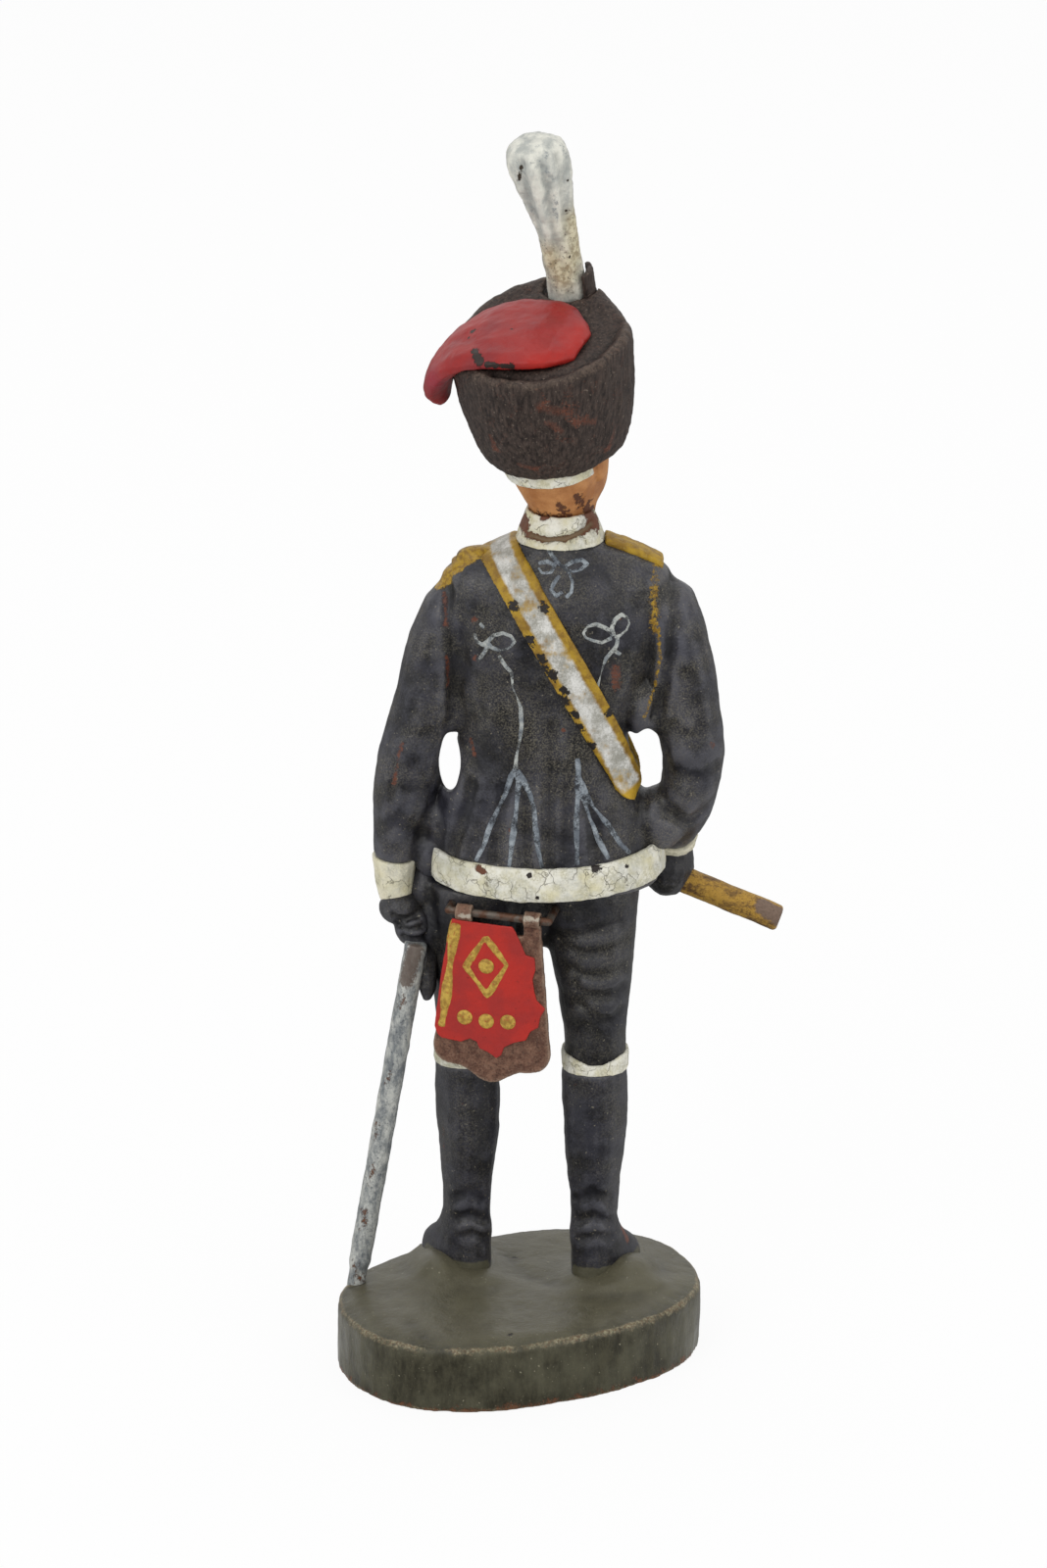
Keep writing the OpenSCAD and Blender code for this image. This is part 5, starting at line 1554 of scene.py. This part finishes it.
# Brighter red over the right of the bag: painted highlight.
stain(bag, "painted_highlight", 1.0, ([(595, 335), (580, 362), (545, 372)], 1.0))
hand_over(bag, "figure", "red_bag", bag_paint, "busby_bag")

# %% [markdown]
# The plume is fluted like wet feathers: grooves are pressed along it, and ridges raised between them. Slate
# grey shows through its silver in spots. Its finish paints shade into the grooves and highlights onto the
# ridges.

# %% Plume
flutes = [
    ([(532, 170), (540, 205), (548, 235), (552, 258)], 0.5, 0.26),
    ([(552, 172), (560, 200), (564, 240), (566, 268)], 0.45, 0.22),
    ([(568, 160), (572, 195), (576, 240)], 0.4, 0.2),
    ([(543, 165), (551, 200), (557, 240), (560, 266)], 0.42, -0.12),
    ([(562, 160), (567, 195), (571, 240)], 0.42, -0.12),
    ([(524, 168), (532, 195), (541, 225)], 0.42, -0.1),
    ([(576, 150), (580, 190), (585, 240)], 0.42, -0.1),
]
plume_chips = [
    ([(532, 170), (529, 184)], 0.2),
    ([(579, 184)], 0.14),
    ([(577, 215)], 0.16),
    ([(581, 262)], 0.16),
]
slate_width = 0.75
slate_spots = [
    [(548, 150), (556, 158)],
    [(568, 145), (578, 158)],
    [(545, 166), (552, 172)],
    [(540, 190), (545, 215)],
    [(556, 174), (564, 182)],
    [(531, 166), (535, 178)],
    [(566, 200), (568, 225)],
]
socket = skin_over("painted_plume_socket", ["plume_socket"], grain=0.08, rounds=12, swollen=0.08)
weather(socket, 8, (0.9, 0.24))
hand_over(socket, "figure", "brown_fur", fur_paint, "plume_socket")

plume = skin_over("painted_plume", ["plume"], grain=0.1, rounds=10, swollen=0.04)
press(plume, *flutes)
weather(plume, 12, (1.2, 0.26), (0.5, 0.07))
stain(plume, "chip", 0.6, *plume_chips)
stain(plume, "blue", 0.47, *((path, slate_width) for path in slate_spots))
stain(plume, "foot", 1.0, ([(560, 262), (574, 284), (588, 255), (586, 225)], 1.2))
hand_over(plume, "figure", "silver_plume", plume_paint, "plume")

# %% [markdown]
# ## Sabretache
# The tin pouch swings on a wire staple. Its plate is remeshed finely and pitted with rust. The red facing
# has torn at the right and below, so its outline is drawn point by point on the facing's own plane, filled,
# and given a thickness.

# %% Sabretache
plate = skin_over("tin_sabretache", ["sabretache"], grain=0.08, rounds=4)
weather(plate, 10, (0.8, 0.08))
stain(plate, "pale", 0.6, ([(470, 935), (520, 940), (548, 938)], 0.4))
hand_over(plate, "sabretache", "rusty_tin", rusty_tin, "sabretache")

torn_outline = [
    (461, 937), (468, 939), (482, 941), (497, 943), (511, 945), (522, 946), (526, 952), (531, 963),
    (536, 975), (545, 978), (546, 990), (543, 1001), (545, 1013), (547, 1021), (556, 1030), (551, 1038),
    (549, 1049), (541, 1053), (536, 1062), (525, 1064), (514, 1069), (511, 1077), (506, 1080), (498, 1074),
    (489, 1070), (486, 1063), (479, 1060), (470, 1063), (460, 1061), (450, 1059), (446, 1055), (443, 1047),
    (446, 1023), (449, 999), (452, 980), (456, 960),
]
sheet_thickness = 0.16
facing_copy = copy_of("facing_plane", "sabretache_facing")
flat = points_of(facing_copy)
bpy.data.objects.remove(facing_copy)
facing_middle = flat.mean(axis=0)
_, _, flat_ways = np.linalg.svd(flat - facing_middle, full_matrices=False)
facing_out = Vector(flat_ways[2])
facing_out *= -1 if facing_out.y < 0 else 1
facing_depth = (flat - facing_middle) @ np.array(facing_out)
facing_top = Vector(facing_middle) + facing_out * facing_depth.max()


def on_facing(pixel):
    """The point of the facing's front plane under a pixel."""
    ray = photo_ray(pixel)
    return camera_place + ray * ((facing_top - camera_place).dot(facing_out) / ray.dot(facing_out))


bpy.ops.object.select_all(action="DESELECT")
bpy.ops.mesh.primitive_circle_add(vertices=len(torn_outline), fill_type="NGON")
facing = bpy.context.object
facing.name = "red_facing_sheet"
for point, pixel in zip(facing.data.vertices, torn_outline):
    point.co = on_facing(pixel)
bpy.ops.object.mode_set(mode="EDIT")
bpy.ops.mesh.select_all(action="SELECT")
bpy.ops.mesh.extrude_region_move(TRANSFORM_OT_translate={"value": -facing_out * sheet_thickness * MM})
bpy.ops.mesh.select_all(action="SELECT")
bpy.ops.mesh.normals_make_consistent(inside=False)
bpy.ops.object.mode_set(mode="OBJECT")
even_net(facing, grain=0.05, rounds=2)
lumps(facing, (0.6, 0.05))
hand_over(facing, "sabretache", "red_facing", red_enamel, "sabretache_facing")

# %% [markdown]
# A plain ornament of gold paint sits on the facing: a lozenge with a dot in it, three dots below, and a
# stripe along the left edge.

# %% Gold on the facing
lozenge = [(495, 956), (517, 985), (497, 1016), (475, 986), (495, 956)]
edge_stripe = [(466, 942), (462, 962), (459, 985), (456, 1008), (453, 1030), (450, 1048)]
gold_sink = 0.33
dots = [(496, 986), (474, 1038), (496, 1042), (518, 1043)]
dot_sizes = (1.15, 1.15, 0.3)

for name, stroke, thick in (("gold_lozenge", lozenge, 0.8), ("gold_edge", edge_stripe, 1.2)):
    line = brush_line(name, [stroke], thick, thick * gold_sink, facing)
    hand_over(line, "sabretache", "gold_belt", ornament_gold)
facing_turn = facing_out.to_track_quat("Z", "Y").to_euler()
eggs = [pellet(on_facing(pixel), dot_sizes, facing_turn) for pixel in dots]
merge(eggs[0], eggs)
eggs[0].name = "gold_dots"
hand_over(eggs[0], "sabretache", "gold_belt", ornament_gold)

# %% [markdown]
# ## Scabbard, rod and wires
# The metal pieces are slightly bent and dented by play. The staple and the inner wires keep the frame's own
# mesh and get an iron finish.

# %% Scabbard, rod and wires
scabbard_chips = [
    ([(385, 1148), (383, 1160)], 0.56),
    ([(371, 1238), (372, 1250)], 0.64),
    ([(364, 1296), (368, 1306)], 0.8),
    ([(412, 1010), (408, 1030)], 0.4),
    ([(380, 1190), (376, 1210)], 0.32),
    ([(396, 1095), (394, 1105)], 0.4),
]
inner_wires = ["left_leg_wire", "right_leg_wire", "spine_wire", "shoulder_wire", "plume_wire"]

scabbard = skin_over("silvered_scabbard", ["scabbard"], grain=0.1, rounds=6, swollen=0.02)
weather(scabbard, 10, (1.5, 0.14))
stain(scabbard, "chip", 0.42, *scabbard_chips)
stain(scabbard, "brown", 0.8, ([(424, 968), (414, 1000)], 0.9))
hand_over(scabbard, "figure", "silver_scabbard", scabbard_silver, "scabbard")

baton = skin_over("worn_gold_baton", ["baton"], grain=0.09, rounds=4, swollen=0.02)
weather(baton, 8, (1.5, 0.14))
stain(baton, "bare", 1.0, ([(780, 925), (795, 935)], 1.0))
hand_over(baton, "figure", "gold_baton", baton_gold, "baton")

for node in ["sabretache_hanger", *inner_wires]:
    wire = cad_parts[node]
    wire.data.materials.clear()
    wire.data.materials.append(iron_wire)
print("wires painted")
